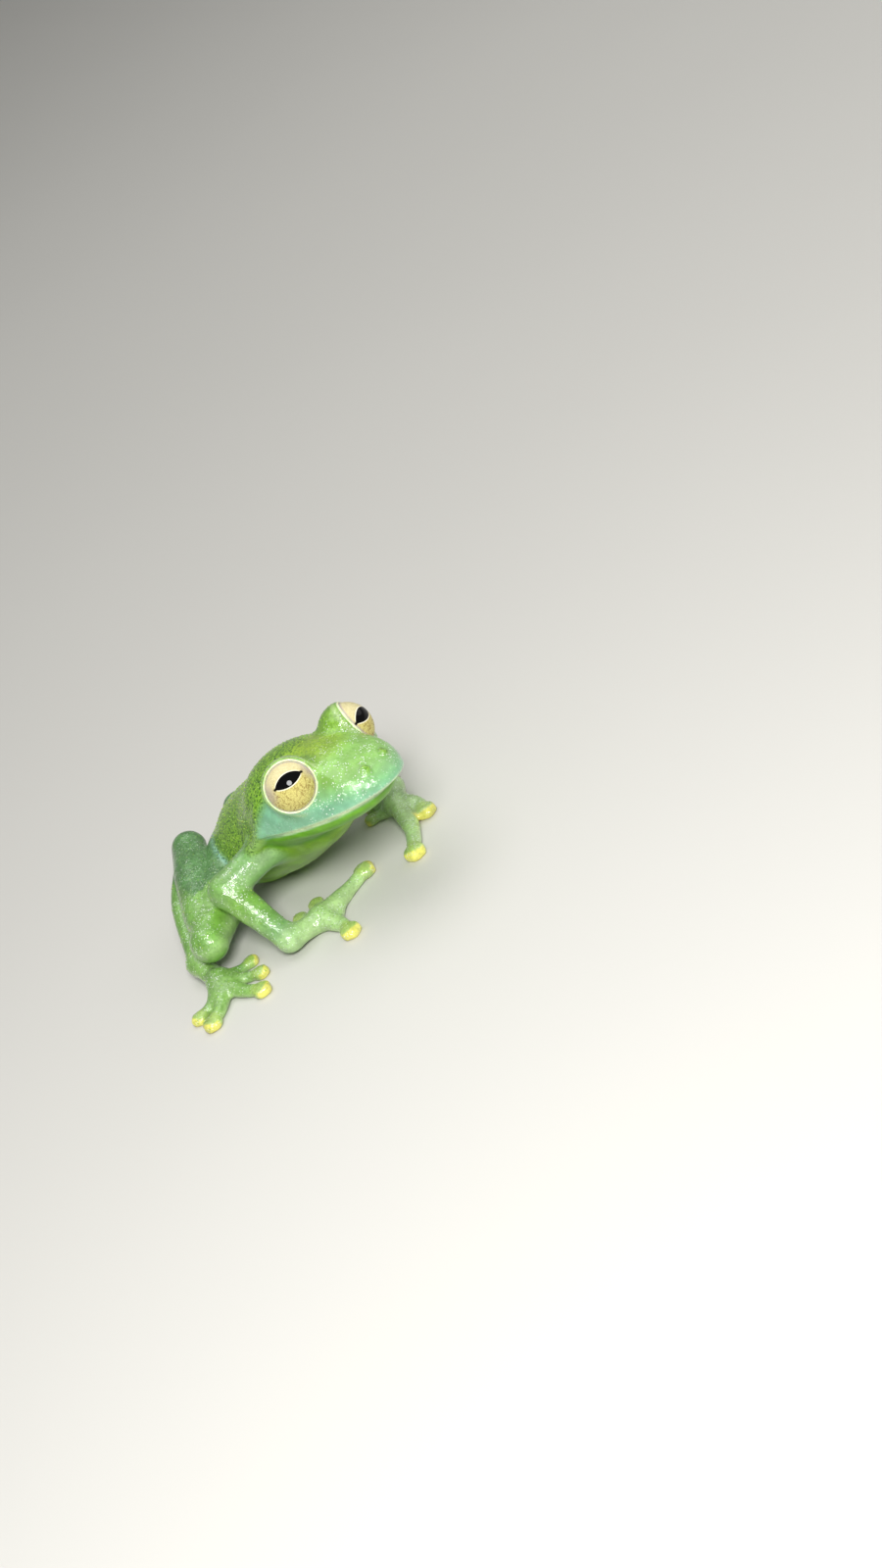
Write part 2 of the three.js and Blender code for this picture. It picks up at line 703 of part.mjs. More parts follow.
// A fine groove along the closed mouth, from one corner round the snout to the other
function mouthLine() {
  const reach = THREE.MathUtils.degToRad(MOUTH.reach);
  const stations = [];
  for (let n = 0; n < MOUTH.steps; n++) {
    const angle = -reach + (2 * reach * n) / (MOUTH.steps - 1);
    const away = P(Math.sin(angle), -Math.cos(angle), 0);
    const start = P(0, HEAD.crownBack, 0).addScaledVector(away, 2.5);
    start.z = lipLevel(start.y) - HEAD.lipRoll;
    const lie = onHead(start, away);
    lie.z = lipLevel(lie.y) - HEAD.lipRoll * MOUTH.level;
    stations.push({
      centre: onHead(lie.clone().addScaledVector(away, -1), away).applyMatrix4(headPlace),
      wide: away.multiplyScalar(MOUTH.halfWidth).applyMatrix4(headTurn),
      high: P(0, 0, 1).multiplyScalar(MOUTH.halfHeight).applyMatrix4(headTurn),
    });
  }
  return loft(stations, 6);
}

function headFeatures(head) {
  let made = head;
  for (const side of [-1, 1]) {
    made = made.add(lidRing(side)).subtract(eyeOpening(side)).subtract(eyeSolid(side, GAP));
    const toSide = (p) => P(side * p.x, p.y, p.z);
    const { radius, swell } = NOSTRIL;
    const nose = onHead(toSide(NOSTRIL.from), toSide(NOSTRIL.outward));
    made = made.add(ball(nose, P(swell, swell, swell * 0.7)));
    const hole = nose.clone().add(toSide(NOSTRIL.hole));
    made = made.subtract(ball(hole, P(radius, radius, radius), 10));
    const ear = onHead(P(side * TYMPANUM.side, TYMPANUM.back, -TYMPANUM.drop), P(side, 0, 0));
    made = made.add(ball(ear, P(TYMPANUM.halfThickness, TYMPANUM.radius, TYMPANUM.radius), 14));
  }
  return made.subtract(mouthLine());
}

// Head and trunk
const [headSkin, trunkSkin] = part(
  skinOf(bodyDistance, HEAD_BOX, HEAD_CELL),
  skinOf(bodyDistance, TRUNK_BOX, TRUNK_CELL),
  NECK_PLANE.point,
  NECK_PLANE.normal,
);
const head = headFeatures(headSkin);
const grown = skinOf((p) => bodyDistance(p) - GAP, BODY_BOX, OFFSET_CELL);

// Limbs of one side: each is parted from the next at a plane across its joint, and cut clear of the body
function limbsOf(side, j) {
  const pieces = {};
  const direction = (a, b) => b.clone().sub(a).normalize();
  const outward = (a, b, c) => direction(b, a).sub(direction(b, c)).normalize();
  let upperArm = limb([j.shoulder, j.shoulder.clone().lerp(j.elbow, 0.5), j.elbow], GIRTH.upperArm);
  let forearm = limb([j.elbow, j.elbow.clone().lerp(j.wrist, 0.5), j.wrist], GIRTH.forearm);
  let hand = extremity(j.palm, j.wrist, j.fingers, HAND_WEBS, PALM);
  [upperArm, forearm] = part(upperArm, forearm, j.elbow, outward(j.shoulder, j.elbow, j.wrist).negate());
  [forearm, hand] = part(forearm, hand, j.wrist, outward(j.elbow, j.wrist, j.palm).negate());
  let thigh = limb([j.hip, j.hip.clone().lerp(j.knee, 0.5), j.knee], GIRTH.thigh);
  let shank = limb([j.knee, j.knee.clone().lerp(j.heel, 0.5), j.heel], GIRTH.shank.slice().reverse());
  let tarsus = limb([j.heel, j.instep, j.ankle], GIRTH.tarsus);
  let foot = extremity(j.sole, j.ankle, j.toes, FOOT_WEBS, SOLE);
  [thigh, shank] = part(thigh, shank, j.knee, outward(j.hip, j.knee, j.heel).negate());
  [shank, tarsus] = part(shank, tarsus, j.heel, outward(j.knee, j.heel, j.instep).negate());
  [tarsus, foot] = part(tarsus, foot, j.ankle, outward(j.instep, j.ankle, j.sole).negate());
  Object.assign(pieces, { upper_arm: upperArm, forearm, thigh, shank, tarsus });
  for (const name of Object.keys(pieces)) pieces[name] = pieces[name].subtract(grown);
  Object.assign(pieces, { hand, foot });
  return Object.entries(pieces).map(([name, solid]) => [`${name}_${side}`, settled(solid)]);
}

const frog = new THREE.Group();
frog.add(meshFrom("head", settled(head), "skin"));
frog.add(meshFrom("trunk", settled(trunkSkin), "skin"));
frog.add(meshFrom("eye_right", eyeSolid(-1, 0), "eye"));
frog.add(meshFrom("eye_left", eyeSolid(1, 0), "eye"));
for (const [side, joints] of [
  ["right", RIGHT],
  ["left", LEFT],
])
  for (const [name, solid] of limbsOf(side, joints))
    frog.add(meshFrom(name, solid, /hand|foot/.test(name) ? "digit" : "limb"));

// The origin is on the ground under the middle of the whole animal's box
const box = new THREE.Box3().setFromObject(frog);
const middle = box.getCenter(P(0, 0, 0));
frog.position.set(-middle.x, -middle.y, 0);

export default frog;
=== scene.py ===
"""A glass frog at life size, sitting still with its head raised and its hands and feet spread on the ground.

All shapes are measured in millimetres in the frog's own frame, +X to its left, +Y to its back end and +Z up
from the ground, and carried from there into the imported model's frame in metres.
"""

import logging
import math
from dataclasses import dataclass, field
from enum import Enum

import bpy
import numpy as np
from mathutils import Matrix, Vector


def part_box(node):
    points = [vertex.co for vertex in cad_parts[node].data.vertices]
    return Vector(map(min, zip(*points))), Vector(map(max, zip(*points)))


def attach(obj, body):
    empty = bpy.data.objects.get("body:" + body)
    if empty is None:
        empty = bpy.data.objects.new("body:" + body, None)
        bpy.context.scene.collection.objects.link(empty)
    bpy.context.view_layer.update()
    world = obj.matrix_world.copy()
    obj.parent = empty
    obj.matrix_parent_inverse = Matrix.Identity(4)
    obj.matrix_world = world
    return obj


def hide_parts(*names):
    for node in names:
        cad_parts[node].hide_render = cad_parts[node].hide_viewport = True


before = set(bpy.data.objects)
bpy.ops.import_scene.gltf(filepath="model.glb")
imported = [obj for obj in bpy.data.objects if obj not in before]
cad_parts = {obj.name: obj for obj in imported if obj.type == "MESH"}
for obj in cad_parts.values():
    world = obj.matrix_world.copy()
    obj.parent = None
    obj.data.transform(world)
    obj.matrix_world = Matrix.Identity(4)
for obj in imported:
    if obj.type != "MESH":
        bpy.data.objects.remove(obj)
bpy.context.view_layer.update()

Array = np.ndarray
Mesh = bpy.types.Mesh
Socket = bpy.types.NodeSocket
Point = tuple[float, float, float]
Span = tuple[float, float]

LOG = logging.getLogger("glass_frog")
MM = 0.001
FAR = 4.0  # a distance beyond every blend between forms
REACH = 1.7  # how far from its own box a form is still measured
SUNK = 0.06  # how deep pads are pressed into the ground before the flats are cut
TINY = 1e-6  # keeps divisions away from nought
CURVE_STEPS = 13  # places worked out from one point of a curve to the next


class Side(Enum):
    """The two sides of the animal, by the sign of X."""

    RIGHT = -1
    LEFT = 1


class Layer(Enum):
    """The skin's attributes, by the names that its materials read."""

    TINT = "tint"
    DOTS = "dots"
    # how wet the skin is: sets the coat's gloss, and where the painted glints gather
    WET = "wet"
    GRANULES = "granules"
    # distance from the eye's middle, which places the painted shade under the lid's rim
    RIM = "rim"


def smooth_min(a: Array, b: Array, blend: Array | float) -> Array:
    """Least of two distances, rounded where they are nearly alike.

    Args:
        a: The first distances.
        b: The second distances.
        blend: How far apart the two may be and still be blended.

    Returns:
        The blended distances.
    """
    share = np.maximum(blend - np.abs(a - b), 0.0) / blend
    return np.minimum(a, b) - share * share * blend / 4


def smooth_max(a: Array, b: Array, blend: float) -> Array:
    """Greatest of two distances, rounded where they are nearly alike."""
    return -smooth_min(-a, -b, blend)


def ease(value: Array, low: float, high: float) -> Array:
    """Share from 0 to 1 of the way from low to high, with soft ends."""
    share = np.clip((value - low) / (high - low), 0.0, 1.0)
    return share * share * (3 - 2 * share)


def bump_at(distance: Array, width: float) -> Array:
    """Share that is 1 at distance 0 and fades away over the width."""
    return np.exp(-((distance / width) ** 2))


def linear(code: int) -> Array:
    """The linear colour of a 24-bit screen colour."""
    screen = np.array([(code >> 16) & 255, (code >> 8) & 255, code & 255]) / 255
    return np.where(screen <= 0.04045, screen / 12.92, ((screen + 0.055) / 1.055) ** 2.4)


def unit(vector: Array) -> Array:
    """The vector at length one."""
    return vector / np.linalg.norm(vector)


def triple(*values: float) -> Array:
    """A point or a direction."""
    return np.array(values, float)


def turn(axis: str, degrees: float) -> Array:
    """The matrix that turns about one axis of the frame."""
    return np.array(Matrix.Rotation(math.radians(degrees), 3, axis))


def curve_through(points: Array, count: int) -> Array:
    """Even steps along a smooth curve through points.

    Args:
        points: The points that the curve passes, in order.
        count: How many places to return.

    Returns:
        The places, evenly spaced by length along the curve.
    """
    ends = np.vstack([2 * points[0] - points[1], points, 2 * points[-1] - points[-2]])
    shares = np.linspace(0, 1, CURVE_STEPS)[:, None]
    drawn = []
    for a, b, c, d in zip(ends, ends[1:], ends[2:], ends[3:]):
        before, here, after = (max(np.linalg.norm(q - p), TINY) ** 0.5 for p, q in ((a, b), (b, c), (c, d)))
        out = here * ((b - a) / before - (c - a) / (before + here) + (c - b) / here)
        into = here * ((c - b) / here - (d - b) / (here + after) + (d - c) / after)
        cube = 2 * b - 2 * c + out + into
        square = -3 * b + 3 * c - 2 * out - into
        drawn.append(cube * shares**3 + square * shares**2 + out * shares + b)
    line = np.vstack([drawn[0]] + [piece[1:] for piece in drawn[1:]])
    lengths = np.concatenate([[0], np.cumsum(np.linalg.norm(np.diff(line, axis=0), axis=1))])
    wanted = np.linspace(0, lengths[-1], count)
    return np.stack([np.interp(wanted, lengths, line[:, a]) for a in range(3)], axis=1)


def along(values: Array, shares: Array) -> Array:
    """Values read from a short list, eased between its entries.

    Args:
        values: The list.
        shares: Places along it, from 0 to 1.

    Returns:
        One value for each place.
    """
    place = shares * (len(values) - 1)
    start = np.minimum(place.astype(int), len(values) - 2)
    return values[start] + (values[start + 1] - values[start]) * ease(place - start, 0, 1)


class Form:
    """A shape known by its distance field, measured only near its own box."""

    low: Array
    high: Array

    def measure(self, points: Array) -> Array:
        """Distances from points to the surface, less than zero inside."""
        raise NotImplementedError

    def distance(self, points: Array) -> Array:
        """Distances from any points, with one large value for all that are far away.

        Args:
            points: Places in the frog's frame, one a row.

        Returns:
            The distances, one for each place.
        """
        found = np.full(len(points), FAR)
        near = np.all((points > self.low - REACH) & (points < self.high + REACH), axis=1)
        if near.any():
            found[near] = np.minimum(self.measure(points[near]), FAR)
        return found


class Tube(Form):
    """Flesh along a smooth curve, round or flattened, with rounded ends."""

    def __init__(
        self, points: list[Array], halves: list[float], flat: float = 1.0, steps: int = 18
    ) -> None:
        """Lays the curve and the half thicknesses along it.

        Args:
            points: The points that the curve passes.
            halves: Half widths from the first point to the last.
            flat: Half height as a share of half width.
            steps: How many straight steps stand for the curve.
        """
        self.line = curve_through(np.array(points, float), steps + 1)
        self.half = along(np.array(halves, float), np.linspace(0, 1, steps + 1))
        self.flat = flat
        most = self.half.max()
        self.low = self.line.min(axis=0) - most
        self.high = self.line.max(axis=0) + most

    def measure(self, points: Array) -> Array:
        """Distances from points to the tube.

        Args:
            points: Places in the frog's frame, one a row.

        Returns:
            The distances, one for each place.
        """
        best = np.full(len(points), FAR)
        for start, end, here, there in zip(self.line, self.line[1:], self.half, self.half[1:]):
            step = end - start
            share = np.clip((points - start) @ step / (step @ step), 0, 1)
            off = points - start - share[:, None] * step
            half = here + (there - here) * share
            length = np.linalg.norm(off, axis=1)
            if self.flat == 1.0:
                best = np.minimum(best, length - half)
                continue
            ahead = unit(step)
            wide = unit(np.cross(ahead, (0, 0, 1)))
            tall = np.cross(wide, ahead)
            parts = np.stack([off @ wide, off @ tall / self.flat, off @ ahead / self.flat], axis=1)
            spread = np.maximum(np.linalg.norm(parts, axis=1) / half, TINY)
            best = np.minimum(best, length - length / spread)
        return best


class Egg(Form):
    """An ellipsoid with its own reach to each side, as square as its powers say."""

    def __init__(self, centre: Array, fore: Array, aft: Array, axes: Array, power: float) -> None:
        """Sets the egg in place.

        Args:
            centre: The place where its three planes cross.
            fore: Reach towards the positive side of each axis.
            aft: Reach towards the negative side of each axis.
            axes: The three axes, one a row.
            power: Two for an ellipsoid, more for a squarer form.
        """
        self.centre, self.fore, self.aft, self.axes, self.power = centre, fore, aft, axes, power
        most = max(fore.max(), aft.max())
        self.low, self.high = centre - most, centre + most

    def measure(self, points: Array) -> Array:
        """Distances from points to the egg.

        Args:
            points: Places in the frog's frame, one a row.

        Returns:
            The distances, one for each place.
        """
        off = (points - self.centre) @ self.axes.T
        reach = np.where(off > 0, self.fore, self.aft)
        share = np.maximum(np.sum(np.abs(off / reach) ** self.power, axis=1) ** (1 / self.power), TINY)
        return np.linalg.norm(off, axis=1) * (1 - 1 / share)


class Membrane(Form):
    """A thin web of skin lying level between two digits, with a hollowed free edge."""

    EDGE_BLEND = 0.15

    def __init__(self, outline: Array, middle: float, half: float) -> None:
        """Sets the outline of the web.

        Args:
            outline: The corners in plan, in order.
            middle: Height of its middle above the ground.
            half: Half its thickness.
        """
        self.outline, self.middle, self.half = outline, middle, half
        self.low = np.append(outline.min(axis=0), middle - half)
        self.high = np.append(outline.max(axis=0), middle + half)

    def measure(self, points: Array) -> Array:
        """Distances from points to the web.

        Args:
            points: Places in the frog's frame, one a row.

        Returns:
            The distances, one for each place.
        """
        flat = points[:, :2]
        best = np.full(len(points), FAR)
        inside = np.zeros(len(points), bool)
        for start, end in zip(self.outline, np.roll(self.outline, -1, axis=0)):
            step = end - start
            share = np.clip((flat - start) @ step / (step @ step), 0, 1)
            best = np.minimum(best, np.linalg.norm(flat - start - share[:, None] * step, axis=1))
            if step[1] == 0:
                continue
            crosses = (start[1] > flat[:, 1]) != (end[1] > flat[:, 1])
            inside ^= crosses & (flat[:, 0] < start[0] + step[0] * (flat[:, 1] - start[1]) / step[1])
        plan = np.where(inside, -best, best)
        return smooth_max(plan, np.abs(points[:, 2] - self.middle) - self.half, self.EDGE_BLEND)


@dataclass
class Head:
    """The head with the domes over its eyes, its lips and its nostrils, in a frame of its own."""

    centre: Array = field(default_factory=lambda: triple(0, 0, 10.5))
    yaw: float = 6.0
    pitch: float = 3.0
    roll: float = -8.0
    crown_half_width: float = 4.5
    crown_back: float = 2.7
    nose_reach: float = 8.35
    nape_reach: float = 5.2
    crown_top: float = 1.15
    lip_drop: float = 2.5
    lip_slope: float = 0.06
    lip_roll: float = 0.6
    lip_blend: float = 0.25
    brow_height: float = 1.2
    brow_slope: float = 0.68
    brow_start: float = 1.5
    brow_rise: float = 1.0
    brow_blend: float = 0.8
    jaw_inset: float = 0.5
    chin_inset: float = 1.1
    jaw_depth: float = 1.6
    jaw_rise: float = 1.0
    jaw_sink: float = 0.7
    plan_power: float = 2.05
    nape_power: float = 2.1
    snout_power: float = 2.3
    snout_span: Span = (0.0, -6.0)
    eye_side: float = 3.3
    dome_radius: float = 2.0
    dome_blend: float = 0.7
    nostril_side: float = 0.8
    nostril_forward: float = 4.4
    nostril_radius: float = 0.17
    nostril_swell: float = 0.38
    nostril_start: float = -1.75
    nostril_ray: Point = (0.3, -0.2, 0.93)
    nostril_hole: Point = (0.16, -0.12, 0.2)

    def __post_init__(self) -> None:
        """Works out the head's axes, one a row."""
        self.axes = (turn("Z", self.yaw) @ turn("X", -self.pitch) @ turn("Y", -self.roll)).T

    def local(self, points: Array) -> Array:
        """Places in the head's frame."""
        return (points - self.centre) @ self.axes.T

    def world(self, points: Array) -> Array:
        """Places in the frog's frame."""
        return points @ self.axes + self.centre

    def lip_level(self, y: Array) -> Array:
        """Height of the lip's widest line at a place along the head."""
        return -self.lip_drop - self.lip_slope * (y + self.crown_back)

    def egg(
        self, q: Array, half: float, front: float, back: float, up: Array | float, down: float
    ) -> Array:
        """Distances to a flattened egg, rounder in plan than in height.

        Args:
            q: Places measured from the egg's widest station.
            half: Half its width.
            front: Reach to the snout.
            back: Reach to the nape.
            up: Reach upwards.
            down: Reach downwards.

        Returns:
            The distances.
        """
        reach = np.where(q[:, 1] < 0, front, back)
        plan = np.abs(q[:, 0] / half) ** self.plan_power + np.abs(q[:, 1] / reach) ** self.plan_power
        rise = np.abs(q[:, 2] / np.where(q[:, 2] > 0, up, down))
        power = self.nape_power + (self.snout_power - self.nape_power) * ease(q[:, 1], *self.snout_span)
        share = (plan ** (power / self.plan_power) + rise**power) ** (1 / power)
        return np.linalg.norm(q, axis=1) * (1 - 1 / np.maximum(share, TINY))

    def measure(self, points: Array) -> Array:
        """Distances from points to the head, before its small features.

        Args:
            points: Places in the frog's frame, one a row.

        Returns:
            The distances, one for each place.
        """
        q = self.local(points)
        lip = self.lip_level(q[:, 1])
        upper = np.stack([q[:, 0], q[:, 1] - self.crown_back, q[:, 2] - lip], axis=1)
        lower = upper + triple(0, 0, self.jaw_sink * self.lip_roll)
        half, front, back = self.crown_half_width, self.nose_reach, self.nape_reach
        crown = self.egg(upper, half, front, back, self.crown_top - lip, self.lip_roll)
        half, front = half - self.jaw_inset, front - self.chin_inset
        jaw = self.egg(lower, half, front, back, self.jaw_rise, self.jaw_depth)
        rise = np.minimum(q[:, 1] + self.brow_start, self.brow_rise)
        brow = q[:, 2] - self.brow_height - self.brow_slope * rise
        found = smooth_min(smooth_max(crown, brow, self.brow_blend), jaw, self.lip_blend)
        for side in Side:
            eye = triple(side.value * self.eye_side, 0, 0)
            found = smooth_min(found, np.linalg.norm(q - eye, axis=1) - self.dome_radius, self.dome_blend)
        return found


@dataclass
class Eye:
    """One eyeball with its iris and slit pupil, and the lid's rim round it."""

    head: Head
    side: Side
    radius: float = 1.85
    rim_distance: float = 0.86
    axis_left: Point = (0.664, -0.688, 0.292)
    slit_tilt: float = 8.0
    gaze: tuple[Span, Span] = ((6.0, 15.0), (24.0, -5.0))
    ball_start: float = 0.02
    ball_end: float = 118.0
    solid_edge: float = 1.5
    solid_inset: float = 0.6
    solid_recess: float = 0.7
    solid_rings: int = 7
    solid_segments: int = 180
    rim_radius: float = 1.73
    rim_half_width: float = 0.07
    rim_half_depth: float = 0.1
    rim_sink: float = 0.08
    rim_swell: float = 0.1
    rim_points: int = 20
    seat_depth: float = 0.1
    seat_radius: float = 1.86
    seat_flare: float = 1.3
    seat_blend: float = 0.16
    segments: int = 96
    rings: int = 48

    def __post_init__(self) -> None:
        """Works out where the eye is and how its slit lies."""
        axis = unit(triple(*self.axis_left) * (self.side.value, 1, 1))
        outward = -self.side.value
        tilt = Matrix.Rotation(math.radians(self.slit_tilt * outward), 3, Vector(axis))
        level = np.array(tilt) @ (unit(np.cross((0, 0, 1), axis)) * outward)
        upward = np.cross(axis, level)
        self.centre = self.head.world(triple(self.side.value * self.head.eye_side, 0, 0))
        self.axes = np.stack([level, upward, axis]) @ self.head.axes
        ahead, rise = (math.tan(math.radians(a)) for a in self.gaze[self.side is Side.LEFT])
        sight = unit(self.axes[2] + ahead * self.axes[0] + rise * self.axes[1])
        slit = unit(self.axes[0] - (self.axes[0] @ sight) * sight)
        self.sight_axes = np.stack([slit, np.cross(sight, slit), sight])

    def local(self, points: Array) -> Array:
        """Places in the eye's frame: along the slit, across it, and along the line of sight."""
        return (points - self.centre) @ self.axes.T

    def revolved(self, profile: Array, segments: int) -> Array:
        """Rings round the line of sight.

        Args:
            profile: Radius and distance along the line of sight, one pair a row.
            segments: Points in each ring.

        Returns:
            The points in the frog's frame, ring after ring.
        """
        angles = np.linspace(0, 2 * math.pi, segments, endpoint=False)
        flat = np.stack([np.cos(angles), np.sin(angles), np.zeros(segments)], axis=1)
        rings = [r * flat + (0, 0, s) for r, s in profile]
        return np.vstack(rings) @ self.axes + self.centre

    def solid_box_centre(self) -> Array:
        """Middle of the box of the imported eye, in the frog's frame.

        Returns:
            The place, by which the two frames are matched.
        """
        start = math.asin(self.solid_edge / self.radius)
        shares = np.linspace(start, 0, self.solid_rings)
        cap = np.stack([self.radius * np.sin(shares), self.radius * np.cos(shares)], axis=1)
        plug = np.array([[self.solid_edge - self.solid_inset, -self.solid_recess]])
        points = self.revolved(np.vstack([plug, cap]), self.solid_segments)
        return (points.min(axis=0) + points.max(axis=0)) / 2

    def ball_mesh(self, place: "Place") -> Mesh:
        """The closed eyeball, with a map that looks along its line of sight.

        Args:
            place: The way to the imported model's frame.

        Returns:
            The mesh.
        """
        shares = np.linspace(self.ball_start, math.radians(self.ball_end), self.rings)
        profile = np.stack([self.radius * np.sin(shares), self.radius * np.cos(shares)], axis=1)
        points = self.revolved(profile, self.segments)
        front = self.centre + self.axes[2] * self.radius
        back = self.centre + self.axes[2] * profile[-1, 1]
        mesh = place.revolution(f"eye_{self.side.name.lower()}_ball", points, self.segments, front, back)
        points = place.back(mesh)
        upright = triple(1, -self.side.value, 1)
        flat = (points - self.centre) @ self.sight_axes.T * upright / self.radius
        place.store_map(mesh, "Iris", flat[:, :2] * 0.5 + 0.5)
        seen = self.local(points) / self.radius
        place.store(mesh, Layer.RIM, np.hypot(seen[:, 0], seen[:, 1]) + np.maximum(-seen[:, 2], 0))
        return mesh

    def rim_mesh(self, place: "Place") -> Mesh:
        """The lid's rounded rim, a closed ring that sits on the skin and hugs the eyeball.

        Args:
            place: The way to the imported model's frame.

        Returns:
            The mesh.
        """
        around = np.linspace(0, 2 * math.pi, self.rim_points, endpoint=False)
        swell = 1 + self.rim_swell * np.cos(around * 2)
        wide = self.rim_radius + self.rim_half_width * swell * np.cos(around)
        high = self.rim_distance - self.rim_sink + self.rim_half_depth * np.sin(around)
        profile = np.stack([wide, high], axis=1)
        points = self.revolved(profile, self.segments)
        return place.ring(f"eye_{self.side.name.lower()}_rim", points, self.segments)


@dataclass
class Trunk:
    """Chest, belly and pelvis, blended into one another."""

    blend: float = 2.2
    chest: tuple[Point, Point] = ((0, 5.5, 6.15), (3.9, 4.6, 3.2))
    belly: tuple[Point, Point] = ((0, 9.4, 4.4), (4.5, 4.6, 3.3))
    pelvis: tuple[Point, Point] = ((0, 12.5, 2.45), (3.3, 3.1, 2.6))

    def measure(self, points: Array) -> Array:
        """Distances from points to the trunk.

        Args:
            points: Places in the frog's frame, one a row.

        Returns:
            The distances, one for each place.
        """
        found = None
        for centre, radii in (self.chest, self.belly, self.pelvis):
            egg = Egg(triple(*centre), triple(*radii), triple(*radii), np.eye(3), 2.0)
            here = egg.measure(points)
            found = here if found is None else smooth_min(found, here, self.blend)
        return found


@dataclass
class Digit:
    """A finger or toe that ends in a broad, blunt disc, lying on the ground."""

    tip: Span
    bend: Span
    size: float
    root_half: float = 0.74
    waist_half: float = 0.45
    disc_half_width: float = 0.7
    disc_half_height: float = 0.36
    disc_half_length: float = 0.38
    disc_setback: float = 0.75
    disc_tail: float = 1.5
    disc_power: float = 3.4
    root_taper: float = 0.86
    waist_swell: float = 1.1
    flat: float = 0.86
    root_lift: float = 0.05
    bend_lift: float = 0.06
    steps: int = 12

    def forms(self, root: Array) -> list[Form]:
        """The finger and its disc.

        Args:
            root: The middle of the palm or sole.

        Returns:
            The tube of the finger, then the disc.
        """
        waist = self.waist_half * self.size
        pad = self.disc_half_height * self.size
        start = triple(root[0], root[1], self.root_half * self.flat * self.size + self.root_lift)
        middle = triple(*self.bend, waist * self.flat + self.bend_lift - SUNK)
        end = triple(*self.tip, pad - SUNK)
        wide, narrow = self.root_half, self.waist_half
        halves = np.array([wide, wide * self.root_taper, narrow * self.waist_swell, narrow])
        finger = Tube([start, middle, end], list(halves * self.size), flat=self.flat, steps=self.steps)
        ahead = unit(end - finger.line[-4])
        across = unit(np.cross(ahead, (0, 0, 1)))
        axes = np.stack([across, ahead, np.cross(across, ahead)])
        length = self.disc_half_length * self.size
        centre = end - ahead * length * self.disc_setback
        fore = triple(self.disc_half_width * self.size, length, pad)
        aft = triple(self.disc_half_width * self.size, length * self.disc_tail, pad)
        return [finger, Egg(centre, fore, aft, axes, self.disc_power)]


@dataclass
class Extremity:
    """A hand or a foot: the flattened palm or sole, its digits and the webs between them."""

    root: Point
    back: Point
    digits: list[Digit]
    web_shares: tuple[float, ...]
    half: float
    flat: float = 0.8
    palm_taper: tuple[float, ...] = (1.0, 0.95, 0.9)
    palm_steps: int = 8
    palm_blend: float = 0.3
    finger_blend: float = 0.45
    disc_blend: float = 0.25
    web_half: float = 0.2
    web_blend: float = 0.22
    web_middle: float = 0.32
    web_near: float = 0.4
    web_far: float = 0.35
    web_hollow: float = 0.42
    web_points: int = 7

    def forms(self) -> list[tuple[Form, float]]:
        """The forms of the hand or foot.

        Returns:
            Each form, with how softly it joins those before it.
        """
        root, back = triple(*self.root), triple(*self.back)
        halves = [self.half * share for share in self.palm_taper]
        palm = Tube([back, (back + root) / 2, root], halves, flat=self.flat, steps=self.palm_steps)
        made: list[tuple[Form, float]] = [(palm, self.palm_blend)]
        for digit in self.digits:
            finger, disc = digit.forms(root)
            made += [(finger, self.finger_blend), (disc, self.disc_blend)]
        for share, first, second in zip(self.web_shares, self.digits, self.digits[1:]):
            if share > 0:
                made.append((self.web(root, first, second, share), self.web_blend))
        return made

    def web(self, root: Array, first: Digit, second: Digit, share: float) -> Membrane:
        """The web between two digits.

        Args:
            root: The middle of the palm or sole.
            first: The digit on one side.
            second: The digit on the other side.
            share: How far along the digits it reaches, from 0 to 1.

        Returns:
            The web.
        """
        ends = []
        for digit in (first, second):
            bend, tip = triple(*digit.bend), triple(*digit.tip)
            near = root[:2] + (bend - root[:2]) * self.web_near
            far = bend + (tip - bend) * self.web_far
            ends.append(near + (far - near) * share)
        start, end = ends
        deep = (start + end) / 2 + (root[:2] - (start + end) / 2) * self.web_hollow
        shares = np.linspace(0, 1, self.web_points)
        bow = [start * (1 - t) ** 2 + deep * 2 * t * (1 - t) + end * t * t for t in shares]
        return Membrane(np.array([root[:2]] + bow), self.web_middle, self.web_half)


@dataclass
class Arm:
    """Upper arm, forearm and hand."""

    shoulder: Point
    elbow: Point
    wrist: Point
    hand: Extremity
    upper_halves: tuple[float, ...] = (1.45, 1.2, 1.15)
    fore_halves: tuple[float, ...] = (1.15, 1.08, 0.95, 0.8)
    elbow_blend: float = 0.5
    wrist_blend: float = 0.7

    def build(self) -> None:
        """Lays the arm's forms."""
        shoulder, elbow, wrist = (triple(*p) for p in (self.shoulder, self.elbow, self.wrist))
        self.upper = Tube([shoulder, (shoulder + elbow) / 2, elbow], list(self.upper_halves))
        self.fore = Tube([elbow, (elbow + wrist) / 2, wrist], list(self.fore_halves))
        self.fingers = self.hand.forms()

    def measure(self, points: Array) -> Array:
        """Distances from points to the arm.

        Args:
            points: Places in the frog's frame, one a row.

        Returns:
            The distances, one for each place.
        """
        arm = smooth_min(self.upper.distance(points), self.fore.distance(points), self.elbow_blend)
        hand = np.full(len(points), FAR)
        for form, blend in self.fingers:
            hand = smooth_min(hand, form.distance(points), blend)
        return smooth_min(arm, hand, self.wrist_blend)


